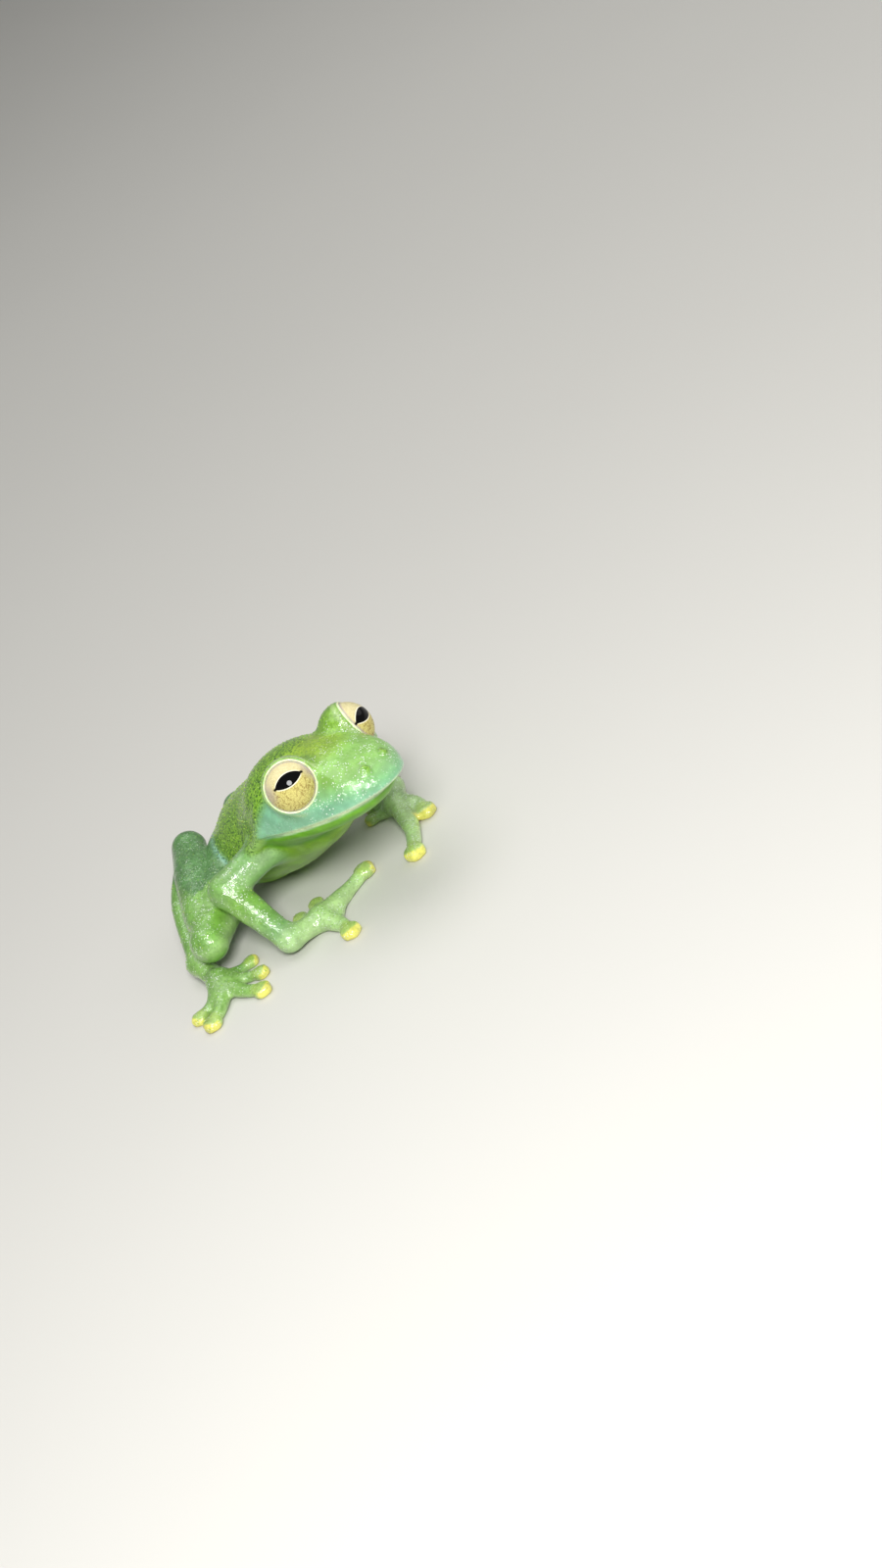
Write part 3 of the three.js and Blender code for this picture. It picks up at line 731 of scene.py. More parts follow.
@dataclass
class Leg:
    """Thigh, shank, tarsus and foot, folded against one another."""

    hip: Point
    knee: Point
    heel: Point
    instep: Point
    ankle: Point
    foot: Extremity
    thigh_halves: tuple[float, ...] = (1.9, 1.75, 1.35)
    shank_halves: tuple[float, ...] = (1.25, 1.5, 1.45, 1.0)
    tarsus_halves: tuple[float, ...] = (0.95, 0.8, 0.72, 0.75)
    fold_blend: float = 0.14
    joint_blend: float = 0.7
    joint_reach: float = 1.6
    foot_blend: float = 0.7

    def build(self) -> None:
        """Lays the leg's forms."""
        hip, knee, heel, instep, ankle = (
            triple(*p) for p in (self.hip, self.knee, self.heel, self.instep, self.ankle)
        )
        self.thigh = Tube([hip, (hip + knee) / 2, knee], list(self.thigh_halves))
        self.shank = Tube([knee, (knee + heel) / 2, heel], list(self.shank_halves[::-1]))
        self.tarsus = Tube([heel, instep, ankle], list(self.tarsus_halves))
        self.toes = self.foot.forms()

    def softness(self, points: Array, joint: Point) -> Array:
        """How softly two lengths of the leg join: a crease where they lie together, round at the joint."""
        near = bump_at(np.linalg.norm(points - triple(*joint), axis=1), self.joint_reach)
        return self.fold_blend + self.joint_blend * near

    def measure(self, points: Array) -> Array:
        """Distances from points to the leg.

        Args:
            points: Places in the frog's frame, one a row.

        Returns:
            The distances, one for each place.
        """
        thigh, shank, tarsus = (form.distance(points) for form in (self.thigh, self.shank, self.tarsus))
        foot = np.full(len(points), FAR)
        for form, blend in self.toes:
            foot = smooth_min(foot, form.distance(points), blend)
        folded = smooth_min(thigh, shank, self.softness(points, self.knee))
        lower = smooth_min(tarsus, foot, self.foot_blend)
        return smooth_min(folded, lower, self.softness(points, self.heel))


def fan_faces(rings: int, segments: int) -> list[tuple[int, ...]]:
    """Faces of a fan round the first vertex and of the rings that follow it.

    Args:
        rings: How many rings there are.
        segments: Points in each ring.

    Returns:
        The faces, by vertex.
    """
    faces = [(0, 1 + n, 1 + (n + 1) % segments) for n in range(segments)]
    for r in range(rings - 1):
        a, b = 1 + r * segments, 1 + (r + 1) * segments
        faces += [(a + n, b + n, b + (n + 1) % segments, a + (n + 1) % segments) for n in range(segments)]
    return faces


def linked(name: str, data: bpy.types.ID) -> bpy.types.Object:
    """A new object that holds the data, in the scene.

    Args:
        name: The object's name.
        data: Its mesh, light or camera.

    Returns:
        The object.
    """
    made = bpy.data.objects.new(name, data)
    bpy.context.scene.collection.objects.link(made)
    return made


class Place:
    """Carries shapes from the frog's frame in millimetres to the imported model's in metres."""

    def __init__(self, eyes: list[Eye]) -> None:
        """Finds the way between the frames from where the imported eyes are.

        Args:
            eyes: The two eyes, in the frog's frame.
        """
        shifts = []
        for eye in eyes:
            low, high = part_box(f"eye_{eye.side.name.lower()}")
            shifts.append((np.array(low) + np.array(high)) / 2 / MM - eye.solid_box_centre())
        self.shift = np.mean(shifts, axis=0) * (1, 1, 0)
        LOG.info("frames are %s mm apart", np.round(self.shift, 4))

    def out(self, points: Array) -> Array:
        """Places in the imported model's frame."""
        return (points + self.shift) * MM

    def back(self, mesh: Mesh) -> Array:
        """A mesh's vertices in the frog's frame.

        Args:
            mesh: The mesh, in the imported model's frame.

        Returns:
            The places, one a row.
        """
        flat = np.empty(len(mesh.vertices) * 3)
        mesh.vertices.foreach_get("co", flat)
        return flat.reshape(-1, 3) / MM - self.shift

    def mesh(self, name: str, points: Array, faces: list) -> Mesh:
        """A smooth-shaded mesh from places in the frog's frame.

        Args:
            name: The mesh's name.
            points: Its vertices, in the frog's frame.
            faces: Its faces, by vertex.

        Returns:
            The mesh.
        """
        made = bpy.data.meshes.new(name)
        made.from_pydata(self.out(points).tolist(), [], faces)
        made.shade_smooth()
        made.validate()
        return made

    def revolution(self, name: str, points: Array, segments: int, first: Array, last: Array) -> Mesh:
        """A closed mesh of rings, with a point at each end.

        Args:
            name: The mesh's name.
            points: The rings' points, in the frog's frame.
            segments: Points in each ring.
            first: The point before the first ring.
            last: The point after the last ring.

        Returns:
            The mesh.
        """
        faces = fan_faces(len(points) // segments, segments)
        end = 1 + len(points)
        a = end - segments
        faces += [(end, a + (n + 1) % segments, a + n) for n in range(segments)]
        return self.mesh(name, np.vstack([first, points, last]), faces)

    def ring(self, name: str, points: Array, segments: int) -> Mesh:
        """A closed ring of rings.

        Args:
            name: The mesh's name.
            points: The rings' points, in the frog's frame.
            segments: Points in each ring.

        Returns:
            The mesh.
        """
        count = len(points) // segments
        faces = []
        for r in range(count):
            a, b = r * segments, (r + 1) % count * segments
            faces += [(a + n, a + (n + 1) % segments, b + (n + 1) % segments, b + n) for n in range(segments)]
        return self.mesh(name, points, faces)

    @staticmethod
    def store_map(mesh: Mesh, name: str, values: Array) -> None:
        """Writes a UV map from one pair of values for each vertex.

        Args:
            mesh: The mesh.
            name: The map's name.
            values: The pairs, one a row.
        """
        layer = mesh.uv_layers.new(name=name)
        corners = np.empty(len(mesh.loops), int)
        mesh.loops.foreach_get("vertex_index", corners)
        layer.data.foreach_set("uv", values[corners].astype(np.float32).ravel())

    @staticmethod
    def store(mesh: Mesh, layer: Layer, values: Array) -> None:
        """Writes one of the skin's attributes, a number or a colour for each vertex.

        Args:
            mesh: The mesh.
            layer: The attribute.
            values: Its values, one a row.
        """
        if values.ndim == 1:
            made = mesh.attributes.new(layer.value, "FLOAT", "POINT")
            made.data.foreach_set("value", values.astype(np.float32))
            return
        made = mesh.attributes.new(layer.value, "FLOAT_COLOR", "POINT")
        full = np.hstack([values, np.ones((len(values), 1))])
        made.data.foreach_set("color", full.astype(np.float32).ravel())


class Board:
    """A material's node tree, with short calls for the nodes that the finishes use."""

    def __init__(self, name: str) -> None:
        """Makes an empty material with its shader and output.

        Args:
            name: The material's name.
        """
        self.material = bpy.data.materials.new(name)
        self.material.use_nodes = True
        self.nodes = self.material.node_tree.nodes
        self.links = self.material.node_tree.links
        self.nodes.clear()
        self.shader = self.nodes.new("ShaderNodeBsdfPrincipled")
        output = self.nodes.new("ShaderNodeOutputMaterial")
        self.links.new(self.shader.outputs["BSDF"], output.inputs["Surface"])
        self.coordinates = self.nodes.new("ShaderNodeTexCoord").outputs["Object"]

    def feed(self, socket: Socket, value: object) -> None:
        """Links a socket to another, or sets its own value.

        Args:
            socket: The socket.
            value: Another socket, a colour or a number.
        """
        if isinstance(value, Socket):
            self.links.new(value, socket)
        elif isinstance(value, Array):
            socket.default_value = (*value.tolist(), 1.0)
        else:
            socket.default_value = value

    def finish(self, values: dict[str, object]) -> bpy.types.Material:
        """Sets or links the shader's sockets.

        Args:
            values: A value or another socket for each, by name.

        Returns:
            The finished material.
        """
        for name, value in values.items():
            self.feed(self.shader.inputs[name], value)
        return self.material

    def times(self, a: object, b: object) -> Socket:
        """The product of two numbers."""
        return self.math("MULTIPLY", a, b)

    def clouded(self, share: object, edge: Span, colours: tuple[int, int]) -> Socket:
        """A colour that passes from the first to the second where a share crosses an edge."""
        return self.mix(self.ease(share, *edge), linear(colours[0]), linear(colours[1]))

    def math(self, operation: str, *values: object, clamp: bool = False) -> Socket:
        """The result of one operation on numbers.

        Args:
            operation: What is done.
            values: The numbers or sockets.
            clamp: Whether the result is kept from 0 to 1.

        Returns:
            The result.
        """
        node = self.nodes.new("ShaderNodeMath")
        node.operation = operation
        node.use_clamp = clamp
        for socket, value in zip(node.inputs, values):
            self.feed(socket, value)
        return node.outputs[0]

    def ease(self, value: object, low: float, high: float) -> Socket:
        """Share from 0 to 1 of the way from low to high, with soft ends.

        Args:
            value: A number or a socket.
            low: The value with a share of 0.
            high: The value with a share of 1.

        Returns:
            The share.
        """
        node = self.nodes.new("ShaderNodeMapRange")
        node.interpolation_type = "SMOOTHSTEP"
        self.feed(node.inputs["Value"], value)
        falling = low > high
        node.inputs["From Min"].default_value = high if falling else low
        node.inputs["From Max"].default_value = low if falling else high
        node.inputs["To Min"].default_value = 1.0 if falling else 0.0
        node.inputs["To Max"].default_value = 0.0 if falling else 1.0
        return node.outputs["Result"]

    def span(self, value: object, low: float, high: float) -> Socket:
        """A share from 0 to 1 stretched evenly to lie from low to high.

        Args:
            value: The share.
            low: What a share of 0 becomes.
            high: What a share of 1 becomes.

        Returns:
            The stretched share.
        """
        node = self.nodes.new("ShaderNodeMapRange")
        self.feed(node.inputs["Value"], value)
        node.inputs["To Min"].default_value = low
        node.inputs["To Max"].default_value = high
        return node.outputs["Result"]

    def mix(self, share: object, a: object, b: object, kind: str = "MIX") -> Socket:
        """A colour between two.

        Args:
            share: How much of the second is used.
            a: The first colour.
            b: The second colour.
            kind: How they are mixed.

        Returns:
            The colour.
        """
        node = self.nodes.new("ShaderNodeMix")
        node.data_type = "RGBA"
        node.blend_type = kind
        self.feed(node.inputs["Factor"], share)
        self.feed(node.inputs[6], a)
        self.feed(node.inputs[7], b)
        return node.outputs[2]

    def attribute(self, layer: Layer) -> Socket:
        """One of the skin's attributes.

        Args:
            layer: Which one.

        Returns:
            Its value.
        """
        node = self.nodes.new("ShaderNodeAttribute")
        node.attribute_name = layer.value
        return node.outputs["Color" if layer is Layer.TINT else "Fac"]

    def noise(self, size: float, detail: float = 3.0, rough: float = 0.55, bent: float = 0.0) -> Socket:
        """Clouded noise whose lumps are about a size in millimetres.

        Args:
            size: The lumps' size.
            detail: How many finer layers it has.
            rough: How strong the finer layers are.
            bent: How far it is twisted.

        Returns:
            Shares from 0 to 1.
        """
        node = self.nodes.new("ShaderNodeTexNoise")
        self.feed(node.inputs["Vector"], self.coordinates)
        node.inputs["Scale"].default_value = 1 / (size * MM)
        node.inputs["Detail"].default_value = detail
        node.inputs["Roughness"].default_value = rough
        node.inputs["Distortion"].default_value = bent
        return node.outputs["Fac"]

    def cells(self, size: float, feature: str = "F1") -> Socket:
        """Distances in a pattern of cells round scattered points.

        Args:
            size: How far apart the points are, in millimetres.
            feature: Which distance is read.

        Returns:
            The distances, in cell widths.
        """
        node = self.nodes.new("ShaderNodeTexVoronoi")
        node.feature = feature
        self.feed(node.inputs["Vector"], self.coordinates)
        node.inputs["Scale"].default_value = 1 / (size * MM)
        return node.outputs["Distance"]

    def bump(self, height: object, depth: float, strength: float = 1.0) -> Socket:
        """A bumped normal.

        Args:
            height: The relief.
            depth: How deep a relief of one is, in millimetres.
            strength: How much of it is used.

        Returns:
            The normal.
        """
        node = self.nodes.new("ShaderNodeBump")
        node.inputs["Strength"].default_value = strength
        node.inputs["Distance"].default_value = depth * MM
        self.feed(node.inputs["Height"], height)
        return node.outputs["Normal"]


@dataclass(frozen=True)
class SkinFinish:
    """Moist, slightly see-through skin, finely dotted where the attribute says, with painted glints: white
    specks laid into its colour where it is wet.
    """

    name: str = "frog_skin"
    dark_dot: int = 0x2C5A12
    light_fleck: int = 0xA9D24A
    # white of the painted glints, specks that stand in for highlights on the wet film
    painted_glint: int = 0xF4FFF2
    cloud_size: float = 1.1
    cloud_edge: Span = (0.35, 0.7)
    cloud_shades: Span = (0.84, 1.16)
    grain_size: float = 0.22
    grain_edge: Span = (0.35, 0.62)
    grain_relief: float = 0.6
    dot_size: float = 0.19
    dot_edge: Span = (0.62, 0.34)
    dot_shares: Span = (0.45, 1.0)
    fleck_spread: float = 1.7
    fleck_edge: Span = (0.28, 0.1)
    fleck_share: float = 0.45
    glint_cluster_size: float = 0.75
    glint_cluster_edge: Span = (0.44, 0.56)
    painted_glint_size: float = 0.17
    painted_glint_edge: Span = (0.38, 0.16)
    painted_glint_wet: Span = (0.7, 0.95)
    painted_glint_share: float = 0.8
    pebble_size: float = 0.24
    relief_depth: float = 0.035
    relief_strength: float = 0.8
    film_size: float = 0.42
    film_ripple: float = 0.6
    film_depth: float = 0.085
    roughness: Span = (0.3, 0.5)
    coat_weights: Span = (0.2, 1.0)
    coat_roughness: float = 0.05
    coat_ior: float = 1.7
    flesh_ior: float = 1.4
    glow: float = 0.3
    glow_radius: Point = (0.8, 1.0, 0.5)
    glow_scale: float = 0.7

    def material(self) -> bpy.types.Material:
        """The skin's material.

        Returns:
            The material.
        """
        board = Board(self.name)
        tint, dots, wet = (board.attribute(layer) for layer in (Layer.TINT, Layer.DOTS, Layer.WET))
        cloud = board.noise(self.cloud_size, 4, 0.6)
        grain = board.noise(self.grain_size, 3, 0.6)
        dim, bright = (np.full(3, shade) for shade in self.cloud_shades)
        base = board.mix(1.0, tint, board.mix(board.ease(cloud, *self.cloud_edge), dim, bright), "MULTIPLY")
        patch = board.span(board.ease(grain, *self.grain_edge), *self.dot_shares)
        dark = board.times(board.ease(board.cells(self.dot_size), *self.dot_edge), patch)
        base = board.mix(board.times(dark, dots), base, linear(self.dark_dot))
        fleck = board.ease(board.cells(self.dot_size * self.fleck_spread), *self.fleck_edge)
        fleck = board.times(fleck, board.times(dots, self.fleck_share))
        base = board.mix(fleck, base, linear(self.light_fleck))
        # Painted glints: white specks laid into the base colour in clusters where the skin is wet, standing
        # in for highlights on the wet film; the relief below also raises them a little, like pale spicules.
        glint_cluster = board.ease(board.noise(self.glint_cluster_size, 2), *self.glint_cluster_edge)
        glint_cluster = board.times(glint_cluster, board.ease(wet, *self.painted_glint_wet))
        painted_glints = board.times(board.ease(board.cells(self.painted_glint_size), *self.painted_glint_edge), glint_cluster)
        base = board.mix(board.times(painted_glints, self.painted_glint_share), base, linear(self.painted_glint))
        pebbles = board.times(board.cells(self.pebble_size, "SMOOTH_F1"), dots)
        relief = board.math("ADD", pebbles, board.times(grain, self.grain_relief))
        relief = board.math("ADD", relief, painted_glints)
        ripple = board.noise(self.film_size * self.film_ripple, 3)
        film = board.math("ADD", board.cells(self.film_size, "SMOOTH_F1"), ripple)
        return board.finish(
            {
                "Base Color": base,
                "Roughness": board.span(cloud, *self.roughness),
                "IOR": self.flesh_ior,
                "Normal": board.bump(relief, self.relief_depth, self.relief_strength),
                "Coat Normal": board.bump(board.times(film, wet), self.film_depth),
                "Coat Weight": board.span(wet, *self.coat_weights),
                "Coat Roughness": self.coat_roughness,
                "Coat IOR": self.coat_ior,
                "Subsurface Weight": self.glow,
                "Subsurface Radius": self.glow_radius,
                "Subsurface Scale": self.glow_scale * MM,
            }
        )


@dataclass(frozen=True)
class MoistFinish:
    """A small moist part of the skin, clouded between two colours and finely grained."""

    name: str
    colours: tuple[int, int]
    cloud_size: float
    cloud_edge: Span
    roughness: Span
    grain_size: float
    grain_detail: int
    grain_depth: float
    grain_strength: float
    coat: float
    coat_roughness: float
    glow: float = 0.3
    glow_scale: float = 0.4

    def material(self) -> bpy.types.Material:
        """The part's material.

        Returns:
            The material.
        """
        board = Board(self.name)
        cloud = board.noise(self.cloud_size, 3, 0.6)
        grain = board.noise(self.grain_size, self.grain_detail)
        return board.finish(
            {
                "Base Color": board.clouded(cloud, self.cloud_edge, self.colours),
                "Roughness": board.span(cloud, *self.roughness),
                "Normal": board.bump(grain, self.grain_depth, self.grain_strength),
                "Coat Weight": self.coat,
                "Coat Roughness": self.coat_roughness,
                "Subsurface Weight": self.glow,
                "Subsurface Scale": self.glow_scale * MM,
            }
        )


GRANULE_FINISH = MoistFinish(
    name="frog_granules",
    colours=(0x5E8E22, 0xA6CC45),
    cloud_size=0.35,
    cloud_edge=(0.35, 0.65),
    roughness=(0.3, 0.5),
    grain_size=0.05,
    grain_detail=2,
    grain_depth=0.006,
    grain_strength=0.6,
    coat=0.7,
    coat_roughness=0.15,
)
LID_FINISH = MoistFinish(
    name="frog_lid",
    colours=(0xE9F0C4, 0xB9D98A),
    cloud_size=0.5,
    cloud_edge=(0.4, 0.75),
    roughness=(0.3, 0.45),
    grain_size=0.12,
    grain_detail=3,
    grain_depth=0.012,
    grain_strength=0.7,
    coat=0.8,
    coat_roughness=0.12,
)


@dataclass(frozen=True)
class EyeFinish:
    """A golden iris with fine brown veins, a black slit pupil with a pale edge, and painted shade round the
    ball's edge under the lid.
    """

    name: str = "frog_iris"
    upper: int = 0xE8E0AC
    lower: int = 0xE0D884
    vein: int = 0x7A5420
    pale: int = 0xFBF3D8
    ash: int = 0xA99BA0
    black: float = 0.002
    slit_half_length: float = 0.56
    slit_half_height: float = 0.245
    slit_power: float = 0.85
    slit_edge: Span = (0.012, -0.004)
    slit_ends: Span = (1.02, 0.99)
    corner_edge: Span = (0.075, 0.03)
    rim_edge: Span = (0.0525, 0.0245)
    rim_ends: Span = (1.0, 0.85)
    gold_edge: Span = (-0.25, 0.3)
    grain_size: float = 0.28
    grain_share: float = 0.35
    thread_size: float = 0.45
    thread_edge: Span = (0.035, 0.0)
    mesh_size: float = 0.14
    mesh_edge: Span = (0.12, 0.0)
    mesh_share: float = 0.4
    vein_edge: Span = (0.35, -0.2)
    vein_shares: Span = (0.25, 0.9)
    vein_relief: float = 0.6
    ash_along: Span = (0.5, 0.8)
    ash_across: Span = (0.5, 0.1)
    ash_share: float = 0.5
    shade_gap_edge: Span = (0.83, 0.885)
    shade_gap_share: float = 0.75
    relief_depth: float = 0.02
    relief_strength: float = 0.35
    roughness: float = 0.3
    coat: float = 0.7
    coat_roughness: float = 0.02
    coat_ior: float = 1.36

    def slit(self, board: Board, along_slit: Socket, across: Socket) -> tuple[Socket, Socket]:
        """The pupil and its pale edge.

        Args:
            board: The material's board.
            along_slit: Place along the slit, from the eye's middle.
            across: Place across the slit.

        Returns:
            The share of the pupil and the share of its edge.
        """
        share = board.math("DIVIDE", along_slit, self.slit_half_length)
        bow = board.math("SUBTRACT", 1.0, board.math("POWER", share, 2.0), clamp=True)
        lens = board.times(board.math("POWER", bow, self.slit_power), self.slit_half_height)
        gap = board.math("SUBTRACT", board.math("ABSOLUTE", across), lens)
        past = board.math("SUBTRACT", along_slit, self.slit_half_length)
        squares = board.math("ADD", board.math("POWER", past, 2.0), board.math("POWER", across, 2.0))
        corner = board.ease(board.math("SQRT", squares), *self.corner_edge)
        middle = board.times(board.ease(gap, *self.slit_edge), board.ease(share, *self.slit_ends))
        edge = board.times(board.ease(gap, *self.rim_edge), board.ease(share, *self.rim_ends))
        return board.math("MAXIMUM", middle, corner), edge

    def material(self) -> bpy.types.Material:
        """The eye's material.

        Returns:
            The material.
        """
        board = Board(self.name)
        uv = board.nodes.new("ShaderNodeUVMap")
        uv.uv_map = "Iris"
        split = board.nodes.new("ShaderNodeSeparateXYZ")
        board.feed(split.inputs[0], uv.outputs[0])
        x, across = (board.math("MULTIPLY_ADD", split.outputs[n], 2.0, -1.0) for n in range(2))
        out = board.math("ABSOLUTE", x)
        pupil, edge = self.slit(board, out, across)
        grain = board.noise(self.grain_size, 5, 0.7, 1.2)
        thread = board.math("SUBTRACT", board.noise(self.thread_size, 4, 0.6, 1.0), 0.5)
        thread = board.ease(board.math("ABSOLUTE", thread), *self.thread_edge)
        fine = board.ease(board.cells(self.mesh_size, "DISTANCE_TO_EDGE"), *self.mesh_edge)
        fine = board.math("MAXIMUM", thread, board.times(fine, self.mesh_share))
        veins = board.times(fine, board.span(board.ease(across, *self.vein_edge), *self.vein_shares))
        gold = board.clouded(across, self.gold_edge, (self.lower, self.upper))
        gold = board.mix(board.span(grain, 0.0, self.grain_share), gold, linear(self.vein))
        gold = board.mix(veins, gold, linear(self.vein))
        ends = board.ease(board.math("ABSOLUTE", across), *self.ash_across)
        ends = board.times(board.ease(out, *self.ash_along), ends)
        gold = board.mix(board.times(ends, self.ash_share), gold, linear(self.ash))
        # painted shade: grey laid on the ball's edge where it sits under the lid's rim
        shade_gap = board.ease(board.attribute(Layer.RIM), *self.shade_gap_edge)
        gold = board.mix(board.times(shade_gap, self.shade_gap_share), gold, linear(self.ash))
        colour = board.mix(edge, gold, linear(self.pale))
        relief = board.math("SUBTRACT", grain, board.times(veins, self.vein_relief))
        return board.finish(
            {
                "Base Color": board.mix(pupil, colour, np.full(3, self.black)),
                "Roughness": self.roughness,
                "Specular IOR Level": 0.0,
                "Normal": board.bump(relief, self.relief_depth, self.relief_strength),
                "Coat Weight": self.coat,
                "Coat Roughness": self.coat_roughness,
                "Coat IOR": self.coat_ior,
            }
        )


@dataclass(frozen=True)
class FloorFinish:
    """A plain pale floor."""

    name: str = "pale_floor"
    colour: int = 0xD2D0CA
    shade: float = 0.96
    cloud_size: float = 60.0
    grain_size: float = 0.6
    grain_depth: float = 0.01
    grain_strength: float = 0.3
    roughness: float = 0.6

    def material(self) -> bpy.types.Material:
        """The floor's material.

        Returns:
            The material.
        """
        board = Board(self.name)
        cloud = board.noise(self.cloud_size, 3, 0.5)
        grain = board.bump(board.noise(self.grain_size, 3), self.grain_depth, self.grain_strength)
        colour = board.mix(cloud, linear(self.colour) * self.shade, linear(self.colour))
        return board.finish({"Base Color": colour, "Roughness": self.roughness, "Normal": grain})


@dataclass(frozen=True)
class Palette:
    """The skin's colours, from the back to the discs."""

    back: int = 0x7BAA28
    crown: int = 0x98BC28
    dome: int = 0x78AC30
    face: int = 0x86BA54
    cheek: int = 0x7BB893
    lip: int = 0xE6FACC
    lid: int = 0xC4DC9A
    jaw: int = 0x68A81A
    # painted shade: the throat's green made darker further below the lip, where shadow falls under the head
    throat: int = 0x4A8608
    belly: int = 0x8CC820
    palm: int = 0xB8D894
    limb: int = 0x78AC4C
    # pale green laid on the limbs' sides as a painted rim glow, and on the shoulder folds
    pale_edge_and_rim_glow: int = 0xB8DA90
    joint: int = 0x74A408
    wrist: int = 0x84B086
    thigh: int = 0x548646
    foot: int = 0xE0EEAA
    disc: int = 0xAFC85C
    disc_edge: int = 0xE9E46A
    seam: int = 0x9CCFC8


RIGHT_ARM = Arm(
    shoulder=(-3.0, 5.6, 5.9),
    elbow=(-7.4, 7.8, 5.0),
    wrist=(-7.9, 3.8, 1.1),
    hand=Extremity(
        root=(-5.5, 3.0, 0.55),
        back=(-7.9, 3.8, 1.1),
        digits=[
            Digit((-5.3, 5.9), (-5.2, 4.6), 0.82),
            Digit((-3.7, 5.4), (-4.3, 4.3), 0.86),
            Digit((-0.1, 2.9), (-2.5, 2.85), 1.12),
            Digit((-6.2, -0.7), (-5.6, 1.0), 1.05),
        ],
        web_shares=(0.0, 0.45, 1.0),
        half=0.95,
    ),
)
LEFT_ARM = Arm(
    shoulder=(3.0, 5.6, 5.7),
    elbow=(7.6, 8.4, 5.1),
    wrist=(7.0, 5.8, 1.1),
    hand=Extremity(
        root=(5.9, 4.6, 0.55),
        back=(7.0, 5.8, 1.1),
        digits=[
            Digit((4.5, 6.7), (5.1, 5.7), 0.82),
            Digit((5.9, 7.8), (5.9, 6.2), 0.88),
            Digit((1.2, -0.9), (3.7, 1.4), 1.12),
            Digit((5.4, 1.2), (6.1, 2.7), 1.05),
        ],
        web_shares=(0.0, 0.45, 1.0),
        half=0.95,
    ),
)
RIGHT_LEG = Leg(
    hip=(-2.3, 13.2, 3.2),
    knee=(-10.3, 8.8, 2.75),
    heel=(-3.2, 16.2, 4.6),
    instep=(-7.2, 14.6, 3.0),
    ankle=(-10.8, 10.9, 1.1),
    foot=Extremity(
        root=(-11.7, 8.3, 0.5),
        back=(-10.8, 10.9, 1.1),
        digits=[
            Digit((-9.2, 7.1), (-10.4, 7.4), 0.82),
            Digit((-10.2, 5.0), (-11.1, 6.4), 0.86),
            Digit((-11.8, 3.4), (-12.2, 5.6), 0.98),
            Digit((-15.6, 5.8), (-13.6, 6.4), 1.0),
            Digit((-15.2, 7.7), (-13.7, 7.4), 0.9),
        ],
        web_shares=(0.45, 0.55, 0.7, 0.8),
        half=0.82,
    ),
)
LEFT_LEG = Leg(
    hip=(2.3, 13.2, 3.2),
    knee=(9.9, 10.2, 2.8),
    heel=(2.3, 16.5, 3.4),
    instep=(5.4, 16.3, 2.2),
    ankle=(8.4, 14.8, 1.0),
    foot=Extremity(
        root=(9.7, 13.5, 0.5),
        back=(8.4, 14.8, 1.0),
        digits=[
            Digit((9.0, 11.4), (9.5, 12.4), 0.82),
            Digit((10.0, 10.7), (10.0, 12.0), 0.86),
            Digit((11.2, 11.1), (10.7, 12.2), 0.98),
            Digit((12.1, 12.7), (11.1, 13.0), 1.0),
            Digit((11.9, 14.4), (11.0, 13.9), 0.92),
        ],
        web_shares=(0.45, 0.55, 0.7, 0.8),
        half=0.82,
    ),
)


@dataclass(frozen=True)
class Zones:
    """Where the skin's colours, dots and wetness begin and end, and how strong they are."""

    head: Span = (0.5, 0.1)
    front: Span = (0.7, -0.2)
    front_start: float = 1.6
    front_lean: Span = (0.6, 0.55)
    crown_height: Span = (0.2, 1.0)
    crown_side: Span = (3.4, 2.2)
    crown_front: Span = (-5.0, -3.4)
    crown_back: Span = (3.0, 1.0)
    crown_dots: Span = (-5.0, -2.5)
    cheek: Span = (0.3, -1.7)
    cheek_lean: float = 0.18
    under: Span = (0.1, -0.55)
    belly: Span = (-6.5, -9.5)
    throat: Span = (0.9, 0.3)
    throat_back: Span = (6.5, 4.5)
    throat_shade_depth: Span = (0.7, 2.2)
    jaw: Span = (0.4, 0.62)
    lip_top: Span = (-0.06, 0.2)
    lip_foot: Span = (0.58, 0.42)
    lip_back: Span = (4.4, 1.4)
    arm: Span = (-0.35, 0.35)
    leg: Span = (-0.25, 0.25)
    pale_edge_and_rim_glow: Span = (0.7, 0.1)
    elbow: float = 1.9
    wrist: float = 1.7
    upper_arm: Span = (0.1, 0.5)
    foot: Span = (0.6, -0.1)
    hand: Span = (0.5, -0.1)
    disc_size: float = 0.66
    disc: Span = (1.7, 0.9)
    disc_edge: Span = (0.82, 1.0)
    disc_front: Span = (-0.2, 0.05)
    disc_rim: Span = (1.7, 1.2)
    fold: Span = (0.2, -0.05)
    seam: float = 0.35
    seam_trunk: Span = (0.6, 0.1)
    dome: Span = (2.6, 2.1)
    dome_height: Span = (0.0, 0.7)
    lid: Span = (2.0, 0.5)
    lid_width: float = 0.18
    leg_top: Span = (-0.2, 0.3)
    grain_slope: Span = (0.0, 0.5)
    # a wetter patch beside the nose: a glossier coat there, and the most painted glints
    film_middle: Point = (2.6, -3.2, -0.4)
    film_width: float = 2.4
    arm_bare: float = 0.8
    leg_dots: float = 0.55
    crown_share: float = 0.35
    wet_back: float = 0.35
    wet_face: float = 0.42
    wet_nose: float = 0.4
    wet_arm: float = 0.52
    wet_leg: float = 0.45
    dry_throat: float = 0.9
    dry_under: float = 0.8


class Paint:
    """Colours laid one over another on the skin's vertices."""

    def __init__(self, palette: Palette, count: int) -> None:
        """Starts with the colour of the back everywhere.

        Args:
            palette: The colours, by name.
            count: How many vertices there are.
        """
        self.look = {name: linear(code) for name, code in vars(palette).items()}
        self.colour = np.tile(self.look["back"], (count, 1))

    def lay(self, name: str, share: Array, strength: float = 1.0) -> None:
        """Lays one of the palette's colours over what is there.

        Args:
            name: The colour's name.
            share: Where it lies, from 0 to 1 at each vertex.
            strength: How much of it is laid.
        """
        self.colour = self.colour + (self.look[name] - self.colour) * (share * strength)[:, None]


